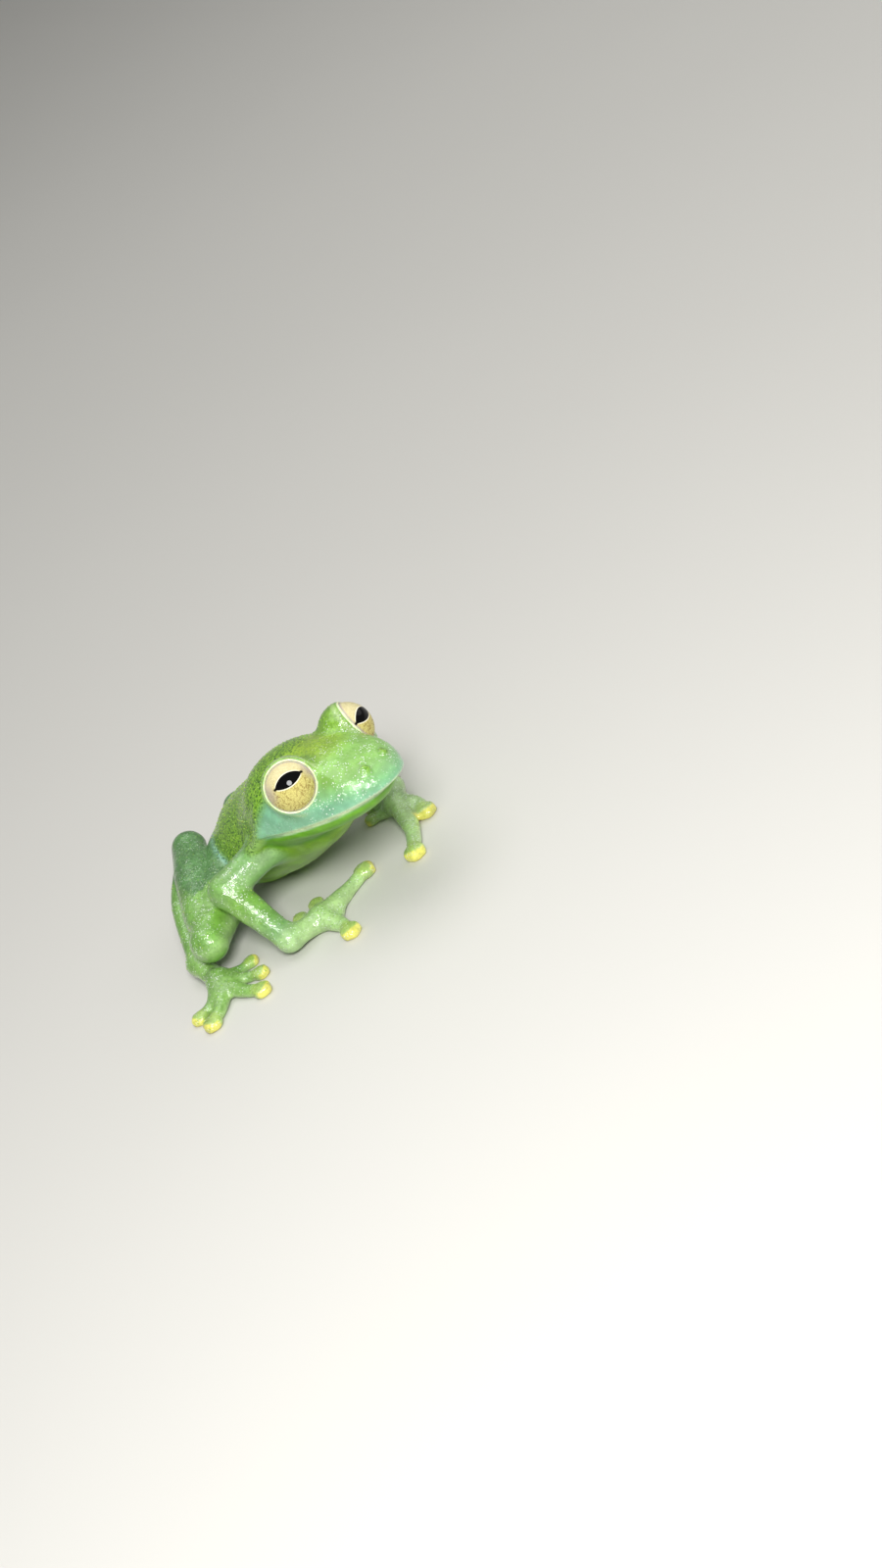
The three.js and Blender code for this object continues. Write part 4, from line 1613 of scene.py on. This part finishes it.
@dataclass
class Skin:
    """The one skin over head, trunk and limbs."""

    head: Head
    eyes: list[Eye]
    trunk: Trunk = field(default_factory=Trunk)
    arms: list[Arm] = field(default_factory=lambda: [RIGHT_ARM, LEFT_ARM])
    legs: list[Leg] = field(default_factory=lambda: [RIGHT_LEG, LEFT_LEG])
    palette: Palette = Palette()
    zones: Zones = Zones()
    cell: float = 0.14
    quick_cell: float = 0.24
    neck_blend: float = 1.6
    root_blend: float = 1.3
    root_reach: float = 2.6
    root_spread: float = 1.3
    crease: float = 0.16
    fold_blend: float = 0.7
    fold_halves: tuple[float, ...] = (0.3, 0.42, 0.3)
    fold_line: tuple[Point, Point] = ((3.75, 3.6, -1.2), (3.95, 4.6, -3.0))
    fold_shares: Span = (0.55, 0.45)
    fold_rise: Point = (0.0, -0.5, 0.9)
    march_steps: int = 60
    march_share: float = 0.6
    slope_step: float = 0.02
    draw_rounds: int = 2
    draw_reach: float = 0.4
    least_slope: float = 0.2
    swell_blend: float = 0.25
    hole_blend: float = 0.08
    ground_blend: float = 0.05
    low: Point = (-17.2, -7.6, -0.33)
    high: Point = (14.8, 18.6, 13.8)
    finish: SkinFinish = SkinFinish()

    def __post_init__(self) -> None:
        """Lays the limbs and the small forms of the head."""
        for limb in self.arms + self.legs:
            limb.build()
        self.features = [self.nostril(side) for side in Side]
        self.folds = [self.shoulder_fold(side, arm) for side, arm in zip(Side, self.arms)]

    def onto_head(self, start: Array, direction: Array) -> Array:
        """The place where a ray from inside the head leaves it.

        Args:
            start: Where the ray starts, in the head's frame.
            direction: Where it goes, in the head's frame.

        Returns:
            The place, in the frog's frame.
        """
        place = self.head.world(start)
        ahead = direction @ self.head.axes
        for _ in range(self.march_steps):
            place = place - ahead * self.head.measure(place[None])[0] * self.march_share
        return place

    def nostril(self, side: Side) -> tuple[Array, Array]:
        """The middle of a nostril's swelling, and the middle of its hole.

        Args:
            side: The side it is on.

        Returns:
            The two places, in the frog's frame.
        """
        head = self.head
        mirror = (side.value, 1, 1)
        start = triple(head.nostril_side, -head.nostril_forward, head.nostril_start) * mirror
        middle = self.onto_head(start, unit(triple(*head.nostril_ray) * mirror))
        hole = middle + triple(*head.nostril_hole) * mirror @ head.axes
        return middle, hole

    def shoulder_fold(self, side: Side, arm: Arm) -> Tube:
        """The soft fold of skin from behind the corner of the mouth down to the upper arm.

        Args:
            side: The side it is on.
            arm: The arm that it ends at.

        Returns:
            The fold.
        """
        start, middle = (self.head.world(triple(*at) * (side.value, 1, 1)) for at in self.fold_line)
        upper, lower = self.fold_shares
        end = triple(*arm.shoulder) * upper + triple(*arm.elbow) * lower + triple(*self.fold_rise)
        return Tube([start, middle, end], list(self.fold_halves), steps=8)

    def body(self, points: Array) -> Array:
        """Distances to head and trunk with the folds between them.

        Args:
            points: Places in the frog's frame, one a row.

        Returns:
            The distances, one for each place.
        """
        found = smooth_min(self.head.measure(points), self.trunk.measure(points), self.neck_blend)
        for fold in self.folds:
            found = smooth_min(found, fold.distance(points), self.fold_blend)
        return found

    def distance(self, points: Array) -> Array:
        """Distances from points to the whole skin.

        Args:
            points: Places in the frog's frame, one a row.

        Returns:
            The distances, one for each place.
        """
        found = self.body(points)
        roots = [(leg, leg.hip, self.root_reach * self.root_spread) for leg in self.legs]
        roots += [(arm, arm.shoulder, self.root_reach) for arm in self.arms]
        for limb, root, reach in roots:
            near = bump_at(np.linalg.norm(points - triple(*root), axis=1), reach)
            found = smooth_min(found, limb.measure(points), self.crease + self.root_blend * near)
        for middle, hole in self.features:
            swell = np.linalg.norm(points - middle, axis=1) - self.head.nostril_swell
            found = smooth_min(found, swell, self.swell_blend)
            bore = self.head.nostril_radius - np.linalg.norm(points - hole, axis=1)
            found = smooth_max(found, bore, self.hole_blend)
        for eye in self.eyes:
            q = eye.local(points)
            height = q[:, 2] - eye.rim_distance + eye.seat_depth
            wall = np.hypot(q[:, 0], q[:, 1]) - eye.seat_radius - eye.seat_flare * height
            found = smooth_max(found, -np.maximum(wall, -height), eye.seat_blend)
        return smooth_max(found, -points[:, 2], self.ground_blend)

    def surface(self, cell: float) -> tuple[Array, Array]:
        """The surface as vertices and four-sided faces.

        Args:
            cell: The spacing of the grid that it is found on.

        Returns:
            The vertices, and the faces by vertex.
        """
        low, high = np.array(self.low), np.array(self.high)
        counts = np.ceil((high - low) / cell).astype(int) + 1
        along_x, along_y = (low[n] + cell * np.arange(counts[n]) for n in range(2))
        x, y = np.meshgrid(along_x, along_y, indexing="ij")
        values = np.empty(counts)
        for n in range(counts[2]):
            level = np.full(x.size, low[2] + cell * n)
            values[:, :, n] = self.distance(np.stack([x.ravel(), y.ravel(), level], axis=1)).reshape(x.shape)
        inside = values < 0
        corners = [np.array(c) for c in np.ndindex(2, 2, 2)]
        parts = [tuple(slice(c[n], counts[n] - 1 + c[n]) for n in range(3)) for c in corners]
        filled = sum(inside[part].astype(int) for part in parts)
        crossed = (filled > 0) & (filled < 8)
        cells = np.argwhere(crossed)
        number = np.full(crossed.shape, -1)
        number[crossed] = np.arange(len(cells))
        total, hits = np.zeros((len(cells), 3)), np.zeros(len(cells))
        for a in corners:
            for b in (c for c in corners if (c - a).sum() == 1 and (c >= a).all()):
                first, second = values[tuple((cells + a).T)], values[tuple((cells + b).T)]
                meets = (first < 0) != (second < 0)
                share = np.where(meets, first / np.where(meets, first - second, 1), 0)
                total += meets[:, None] * (a + (b - a) * share[:, None])
                hits += meets
        points = low + cell * (cells + total / hits[:, None])
        faces = []
        unit_steps = np.eye(3, dtype=int)
        for axis in range(3):
            step, u, v = (unit_steps[(axis + n) % 3] for n in range(3))
            most = counts - step
            here, there = inside[: most[0], : most[1], : most[2]], inside[step[0] :, step[1] :, step[2] :]
            edges = np.argwhere(here != there)
            around = [edges - s * u - t * v for s, t in ((0, 0), (1, 0), (1, 1), (0, 1))]
            ring = np.stack([number[tuple(cells_at.T)] for cells_at in around], axis=1)
            outward = inside[tuple(edges.T)]
            faces.append(np.where(outward[:, None], ring, ring[:, ::-1]))
        return self.drawn_onto(points, cell), np.vstack(faces)

    def slope(self, points: Array) -> Array:
        """The field's slope at points.

        Args:
            points: Places in the frog's frame, one a row.

        Returns:
            The slopes, one a row.
        """
        axes = np.eye(3) * self.slope_step
        rises = [self.distance(points + a) - self.distance(points - a) for a in axes]
        return np.stack(rises, axis=1) / (2 * self.slope_step)

    def drawn_onto(self, points: Array, cell: float) -> Array:
        """Points moved along the field's slope until they lie on its surface.

        Args:
            points: Places near the surface, one a row.
            cell: The spacing of the grid that they come from.

        Returns:
            The moved places.
        """
        for _ in range(self.draw_rounds):
            slope = self.slope(points)
            steep = np.maximum((slope**2).sum(axis=1), self.least_slope)
            move = -slope * (self.distance(points) / steep)[:, None]
            length = np.maximum(np.linalg.norm(move, axis=1), 1e-9)
            points = points + move * np.minimum(1, self.draw_reach * cell / length)[:, None]
        return points

    def dress(self, points: Array) -> dict[Layer, Array]:
        """Colours and finishes at the skin's vertices.

        Args:
            points: The vertices, in the frog's frame.

        Returns:
            The values of each attribute.
        """
        z, paint = self.zones, Paint(self.palette, len(points))
        q = self.head.local(points)
        up = self.slope(points)[:, 2]
        body = self.body(points)
        arm = np.minimum.reduce([limb.measure(points) for limb in self.arms])
        leg = np.minimum.reduce([limb.measure(points) for limb in self.legs])
        below_lip = self.head.lip_level(q[:, 1]) - q[:, 2]
        to_head = self.head.measure(points)
        on_head = ease(to_head, *z.head)
        lean = (q[:, 1] - z.front_start) * z.front_lean[0] + q[:, 2] * z.front_lean[1]
        in_front = ease(lean, *z.front) * on_head
        crown = ease(q[:, 2], *z.crown_height) * ease(np.abs(q[:, 0]), *z.crown_side) * on_head
        under = ease(up, *z.under) * (1 - on_head)
        throat = ease(to_head, *z.throat) * ease(below_lip, *z.jaw) * ease(q[:, 1], *z.throat_back)
        lip = ease(below_lip, *z.lip_top) * ease(below_lip, *z.lip_foot) * on_head
        paint.lay("face", in_front, strength=0.95)
        paint.lay("crown", crown * ease(q[:, 1], *z.crown_front) * ease(q[:, 1], *z.crown_back))
        paint.lay("cheek", in_front * ease(q[:, 2] - z.cheek_lean * q[:, 1], *z.cheek), strength=0.95)
        paint.lay("belly", under * ease(q[:, 2], *z.belly), strength=0.7)
        paint.lay("jaw", throat)
        # painted shade: the throat darkens the further it lies below the lip, under the head
        paint.lay("throat", throat * ease(below_lip, *z.throat_shade_depth))
        paint.lay("lip", lip * ease(q[:, 1], *z.lip_back))
        on_arm = ease(body - arm, *z.arm)
        on_leg = ease(body - leg, *z.leg) * (1 - on_arm)
        self.paint_limbs(paint, points, up, on_arm, on_leg)
        self.paint_discs(paint, points)
        fold = np.minimum.reduce([f.distance(points) for f in self.folds])
        paint.lay("pale_edge_and_rim_glow", ease(fold, *z.fold) * (1 - on_arm), strength=0.45)
        seam = bump_at(body - leg, z.seam) * ease(self.trunk.measure(points), *z.seam_trunk)
        paint.lay("seam", seam, strength=0.6)
        for eye in self.eyes:
            near = eye.local(points)
            dome = ease(np.linalg.norm(near, axis=1), *z.dome) * ease(q[:, 2], *z.dome_height)
            paint.lay("dome", dome, strength=0.8)
            ring = np.hypot(np.hypot(near[:, 0], near[:, 1]) - z.lid[0], near[:, 2] - z.lid[1])
            paint.lay("lid", bump_at(ring, z.lid_width), strength=0.55)
        dots = np.clip(1 - in_front - throat, 0, 1) * (1 - under) * (1 - z.arm_bare * on_arm)
        dots *= 1 - on_leg * (1 - z.leg_dots * ease(up, *z.leg_top))
        dots = np.maximum(dots, z.crown_share * crown * ease(q[:, 1], *z.crown_dots))
        grains = dots * ease(up, *z.grain_slope) * (1 - on_leg)
        # wetness sets the coat's gloss and also where the painted glints lie; it is highest beside the nose
        beside_nose = np.linalg.norm(np.abs(q) * (1, 0, 0) + q * (0, 1, 1) - z.film_middle, axis=1)
        film = in_front * (z.wet_face + z.wet_nose * bump_at(beside_nose, z.film_width))
        wet = np.clip(z.wet_back + film + z.wet_arm * on_arm + z.wet_leg * on_leg, 0, 1)
        wet *= (1 - z.dry_throat * throat) * (1 - z.dry_under * under * (1 - on_leg))
        return {Layer.TINT: paint.colour, Layer.DOTS: dots, Layer.WET: wet, Layer.GRANULES: grains}

    def paint_limbs(self, paint: Paint, points: Array, up: Array, on_arm: Array, on_leg: Array) -> None:
        """Lays the colours of arms and legs.

        Args:
            paint: The colours so far.
            points: The vertices, in the frog's frame.
            up: How far the skin faces upwards there.
            on_arm: Share of each vertex that is an arm's.
            on_leg: Share of each vertex that is a leg's.
        """
        z = self.zones
        paint.lay("limb", on_arm)
        # painted rim glow: the limbs are paler where their skin faces sideways, for light showing through
        # their edges; it also stands for their paler, unpigmented sides
        paint.lay("pale_edge_and_rim_glow", on_arm * ease(np.abs(up), *z.pale_edge_and_rim_glow), strength=0.4)
        paint.lay("thigh", on_leg)
        for limb in self.arms:
            elbow, wrist = (np.linalg.norm(points - triple(*at), axis=1) for at in (limb.elbow, limb.wrist))
            upper = limb.upper.distance(points) + z.upper_arm[0]
            paint.lay("joint", on_arm * bump_at(elbow, z.elbow), strength=0.9)
            paint.lay("wrist", on_arm * bump_at(wrist, z.wrist), strength=0.7)
            paint.lay("wrist", on_arm * bump_at(upper, z.upper_arm[1]), strength=0.35)
        for limb in self.legs:
            foot = np.minimum.reduce([form.distance(points) for form, _ in limb.toes])
            paint.lay("foot", on_leg * ease(foot, *z.foot), strength=0.9)
        for limb in self.arms:
            hand = np.minimum.reduce([form.distance(points) for form, _ in limb.fingers])
            paint.lay("palm", on_arm * ease(hand, *z.hand), strength=0.85)

    def paint_discs(self, paint: Paint, points: Array) -> None:
        """Lays the colours of the discs at the ends of fingers and toes.

        Args:
            paint: The colours so far.
            points: The vertices, in the frog's frame.
        """
        z = self.zones
        for extremity in [limb.hand for limb in self.arms] + [limb.foot for limb in self.legs]:
            for digit in extremity.digits:
                _, disc = digit.forms(triple(*extremity.root))
                gap = np.linalg.norm(points - disc.centre, axis=1) / (z.disc_size * digit.size)
                off = (points - disc.centre) @ disc.axes.T
                edge = ease(np.hypot(off[:, 0] / disc.fore[0], off[:, 1] / disc.fore[1]), *z.disc_edge)
                paint.lay("disc", ease(gap, *z.disc), strength=0.6)
                rim = edge * ease(off[:, 1], *z.disc_front) * ease(gap, *z.disc_rim)
                paint.lay("disc_edge", rim, strength=0.95)

    def make(self, place: Place) -> bpy.types.Object:
        """Builds and dresses the skin, in place of the solids of flesh.

        Args:
            place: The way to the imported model's frame.

        Returns:
            The skin.
        """
        points, faces = self.surface(self.cell)
        mesh = place.mesh("frog_skin", points, faces.tolist())
        for layer, values in self.dress(place.back(mesh)).items():
            place.store(mesh, layer, values)
        piece = linked("frog_skin", mesh)
        mesh.materials.append(self.finish.material())
        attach(piece, "root")
        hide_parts(*[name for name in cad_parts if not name.startswith("eye_")])
        LOG.info("skin: %d vertices, %d faces", len(mesh.vertices), len(mesh.polygons))
        return piece


@dataclass
class Granules:
    """Tiny raised grains scattered over the back."""

    spacing: float = 0.2
    per_square_mm: float = 22.0
    smallest: float = 0.03
    largest: float = 0.062
    flatness: float = 0.7
    seed: int = 11
    finish: MoistFinish = GRANULE_FINISH

    def tree(self) -> tuple[bpy.types.NodeTree, dict[str, str]]:
        """The node tree that scatters the grains.

        Returns:
            The tree, and its inputs' identifiers by name.
        """
        tree = bpy.data.node_groups.new("frog_granules", "GeometryNodeTree")
        sockets = {}
        for name, kind in (
            ("Geometry", "NodeSocketGeometry"),
            ("Spacing", "NodeSocketFloat"),
            ("Density", "NodeSocketFloat"),
            ("Smallest", "NodeSocketFloat"),
            ("Largest", "NodeSocketFloat"),
            ("Seed", "NodeSocketInt"),
            ("Material", "NodeSocketMaterial"),
        ):
            sockets[name] = tree.interface.new_socket(name, in_out="INPUT", socket_type=kind).identifier
        tree.interface.new_socket("Geometry", in_out="OUTPUT", socket_type="NodeSocketGeometry")
        nodes, links = tree.nodes, tree.links
        given = nodes.new("NodeGroupInput").outputs
        scatter = nodes.new("GeometryNodeDistributePointsOnFaces")
        scatter.distribute_method = "POISSON"
        share = nodes.new("GeometryNodeInputNamedAttribute")
        share.data_type = "FLOAT"
        share.inputs["Name"].default_value = Layer.GRANULES.value
        grain = nodes.new("GeometryNodeMeshIcoSphere")
        grain.inputs["Radius"].default_value = 1.0
        grain.inputs["Subdivisions"].default_value = 1
        flat = nodes.new("ShaderNodeVectorMath")
        flat.operation = "MULTIPLY"
        flat.inputs[1].default_value = (1.0, 1.0, self.flatness)
        size = nodes.new("FunctionNodeRandomValue")
        size.data_type = "FLOAT"
        put = nodes.new("GeometryNodeInstanceOnPoints")
        real = nodes.new("GeometryNodeRealizeInstances")
        smooth = nodes.new("GeometryNodeSetShadeSmooth")
        dress = nodes.new("GeometryNodeSetMaterial")
        result = nodes.new("NodeGroupOutput")
        for a, b in (
            (given["Geometry"], scatter.inputs["Mesh"]),
            (given["Spacing"], scatter.inputs["Distance Min"]),
            (given["Density"], scatter.inputs["Density Max"]),
            (share.outputs["Attribute"], scatter.inputs["Density Factor"]),
            (given["Seed"], scatter.inputs["Seed"]),
            (given["Smallest"], size.inputs[2]),
            (given["Largest"], size.inputs[3]),
            (given["Seed"], size.inputs["Seed"]),
            (scatter.outputs["Points"], put.inputs["Points"]),
            (scatter.outputs["Rotation"], put.inputs["Rotation"]),
            (grain.outputs["Mesh"], put.inputs["Instance"]),
            (size.outputs[1], flat.inputs[0]),
            (flat.outputs[0], put.inputs["Scale"]),
            (put.outputs["Instances"], real.inputs["Geometry"]),
            (real.outputs["Geometry"], smooth.inputs["Geometry"]),
            (smooth.outputs["Geometry"], dress.inputs["Geometry"]),
            (given["Material"], dress.inputs["Material"]),
            (dress.outputs["Geometry"], result.inputs["Geometry"]),
        ):
            links.new(a, b)
        return tree, sockets

    def make(self, skin: bpy.types.Object) -> bpy.types.Object:
        """Scatters the grains over the skin and makes them a plain mesh of their own.

        Args:
            skin: The dressed skin.

        Returns:
            The grains.
        """
        tree, sockets = self.tree()
        carrier = linked("granule_carrier", skin.data)
        change = carrier.modifiers.new("granules", "NODES")
        change.node_group = tree
        given = {
            "Spacing": self.spacing * MM,
            "Density": self.per_square_mm / MM**2,
            "Smallest": self.smallest * MM,
            "Largest": self.largest * MM,
            "Seed": self.seed,
            "Material": self.finish.material(),
        }
        for name, value in given.items():
            change[sockets[name]] = value
        depsgraph = bpy.context.evaluated_depsgraph_get()
        mesh = bpy.data.meshes.new_from_object(carrier.evaluated_get(depsgraph))
        carrier.modifiers.remove(change)
        bpy.data.objects.remove(carrier)
        mesh.name = "frog_granules"
        piece = linked("frog_granules", mesh)
        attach(piece, "root")
        LOG.info("granules: %d faces", len(mesh.polygons))
        return piece


@dataclass
class Eyes:
    """Both eyeballs and the rims of their lids."""

    eyes: list[Eye]
    iris: EyeFinish = EyeFinish()
    lid: MoistFinish = LID_FINISH

    def make(self, place: Place) -> None:
        """Builds and dresses the eyes in place of their solids.

        Args:
            place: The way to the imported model's frame.
        """
        iris, lid = self.iris.material(), self.lid.material()
        for eye in self.eyes:
            name = eye.side.name.lower()
            ball = linked(f"eyeball_{name}", eye.ball_mesh(place))
            rim = linked(f"eyelid_rim_{name}", eye.rim_mesh(place))
            for piece, material, slot in ((ball, iris, "eye"), (rim, lid, "skin")):
                piece.data.materials.append(material)
                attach(piece, "root")
            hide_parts(f"eye_{name}")
            LOG.info("eye %s: %d faces", name, len(ball.data.polygons) + len(rim.data.polygons))


@dataclass
class Studio:
    """The pale floor, the soft lights and the camera at the photograph's angle."""

    elevation: float = 26.0
    bearing: float = 32.0
    lean: float = 35.0
    distance: float = 175.0
    aim_right: float = 8.05
    aim_up: float = -1.78
    lens: float = 60.6
    clip_start: float = 0.01
    middle: Point = (0.0, 5.0, 5.0)
    key: Point = (-22.0, 34.0, 170.0)
    key_width: float = 60.0
    key_power: float = 0.3
    lamps: tuple[tuple[str, Point, float, float], ...] = (
        ("top", (40.0, 60.0, 320.0), 320.0, 0.42),
        ("side", (260.0, -60.0, 160.0), 260.0, 0.15),
    )
    world_colour: tuple[float, ...] = (0.9, 0.91, 0.9, 1.0)
    world_strength: float = 0.3
    floor_radius: float = 4.0
    floor_rings: int = 24
    floor_segments: int = 96
    finish: FloorFinish = FloorFinish()

    def axes(self) -> tuple[Array, Array, Array]:
        """The picture's right and up and the way back to the camera, in the frog's frame.

        Returns:
            The three directions.
        """
        e, b, r = (math.radians(a) for a in (self.elevation, self.bearing, self.lean))
        back = triple(-math.sin(b) * math.cos(e), -math.cos(b) * math.cos(e), math.sin(e))
        level = triple(math.cos(b), -math.sin(b), 0)
        rise = triple(math.sin(b) * math.sin(e), math.cos(b) * math.sin(e), math.cos(e))
        return level * math.cos(r) - rise * math.sin(r), level * math.sin(r) + rise * math.cos(r), back

    def make_camera(self, place: Place, eyes_middle: Array) -> None:
        """Sets the camera up.

        Args:
            place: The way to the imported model's frame.
            eyes_middle: The place between the eyes.
        """
        right, up, back = self.axes()
        stand = eyes_middle + back * self.distance
        aim = eyes_middle + right * self.aim_right + up * self.aim_up
        ahead = unit(stand - aim)
        right = unit(right - (right @ ahead) * ahead)
        turned = np.stack([right, np.cross(ahead, right), ahead], axis=1)
        data = bpy.data.cameras.new("camera")
        data.lens = self.lens
        data.clip_start = self.clip_start
        camera = linked("camera", data)
        camera.matrix_world = Matrix.Translation(Vector(place.out(stand))) @ Matrix(turned.tolist()).to_4x4()
        bpy.context.scene.camera = camera

    def light(self, name: str, place: Place, at: Array, size: float, power: float) -> None:
        """Hangs one soft round light that points at the frog's middle.

        Args:
            name: The light's name.
            place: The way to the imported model's frame.
            at: Where it hangs, in the frog's frame.
            size: Its width in millimetres.
            power: Its power in watts.
        """
        data = bpy.data.lights.new(name, "AREA")
        data.shape = "DISK"
        data.size = size * MM
        data.energy = power
        lamp = linked(name, data)
        look = Vector(place.out(triple(*self.middle)) - place.out(at)).to_track_quat("-Z", "Y")
        lamp.matrix_world = Matrix.Translation(Vector(place.out(at))) @ look.to_matrix().to_4x4()

    def make(self, place: Place, eyes_middle: Array) -> None:
        """Builds the floor and the lights, and sets the camera up.

        Args:
            place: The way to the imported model's frame.
            eyes_middle: The place between the eyes.
        """
        self.make_camera(place, eyes_middle)
        middle = triple(*self.middle)
        self.light("key", place, middle + self.key @ np.stack(self.axes()), self.key_width, self.key_power)
        for name, offset, size, power in self.lamps:
            self.light(name, place, middle + offset, size, power)
        world = bpy.data.worlds.new("studio")
        world.use_nodes = True
        background = world.node_tree.nodes["Background"].inputs
        background["Color"].default_value = self.world_colour
        background["Strength"].default_value = self.world_strength
        bpy.context.scene.world = world
        bpy.context.scene.view_settings.view_transform = "Standard"
        mesh = bpy.data.meshes.new("floor")
        radii = self.floor_radius * (np.arange(1, self.floor_rings + 1) / self.floor_rings) ** 3
        angles = np.linspace(0, 2 * math.pi, self.floor_segments, endpoint=False)
        points = [(0, 0, 0)] + [(r * math.cos(a), r * math.sin(a), 0) for r in radii for a in angles]
        mesh.from_pydata(points, [], fan_faces(self.floor_rings, self.floor_segments))
        mesh.materials.append(self.finish.material())
        floor = linked("floor", mesh)


def main() -> None:
    """Builds the frog and its studio, in order."""
    logging.basicConfig(level=logging.INFO, format="%(name)s: %(message)s")
    head = Head()
    eyes = [Eye(head, side) for side in Side]
    place = Place(eyes)
    Studio().make(place, head.centre)
    skin = Skin(head, eyes).make(place)
    Granules().make(skin)
    Eyes(eyes).make(place)


if __name__ == "__main__":
    main()
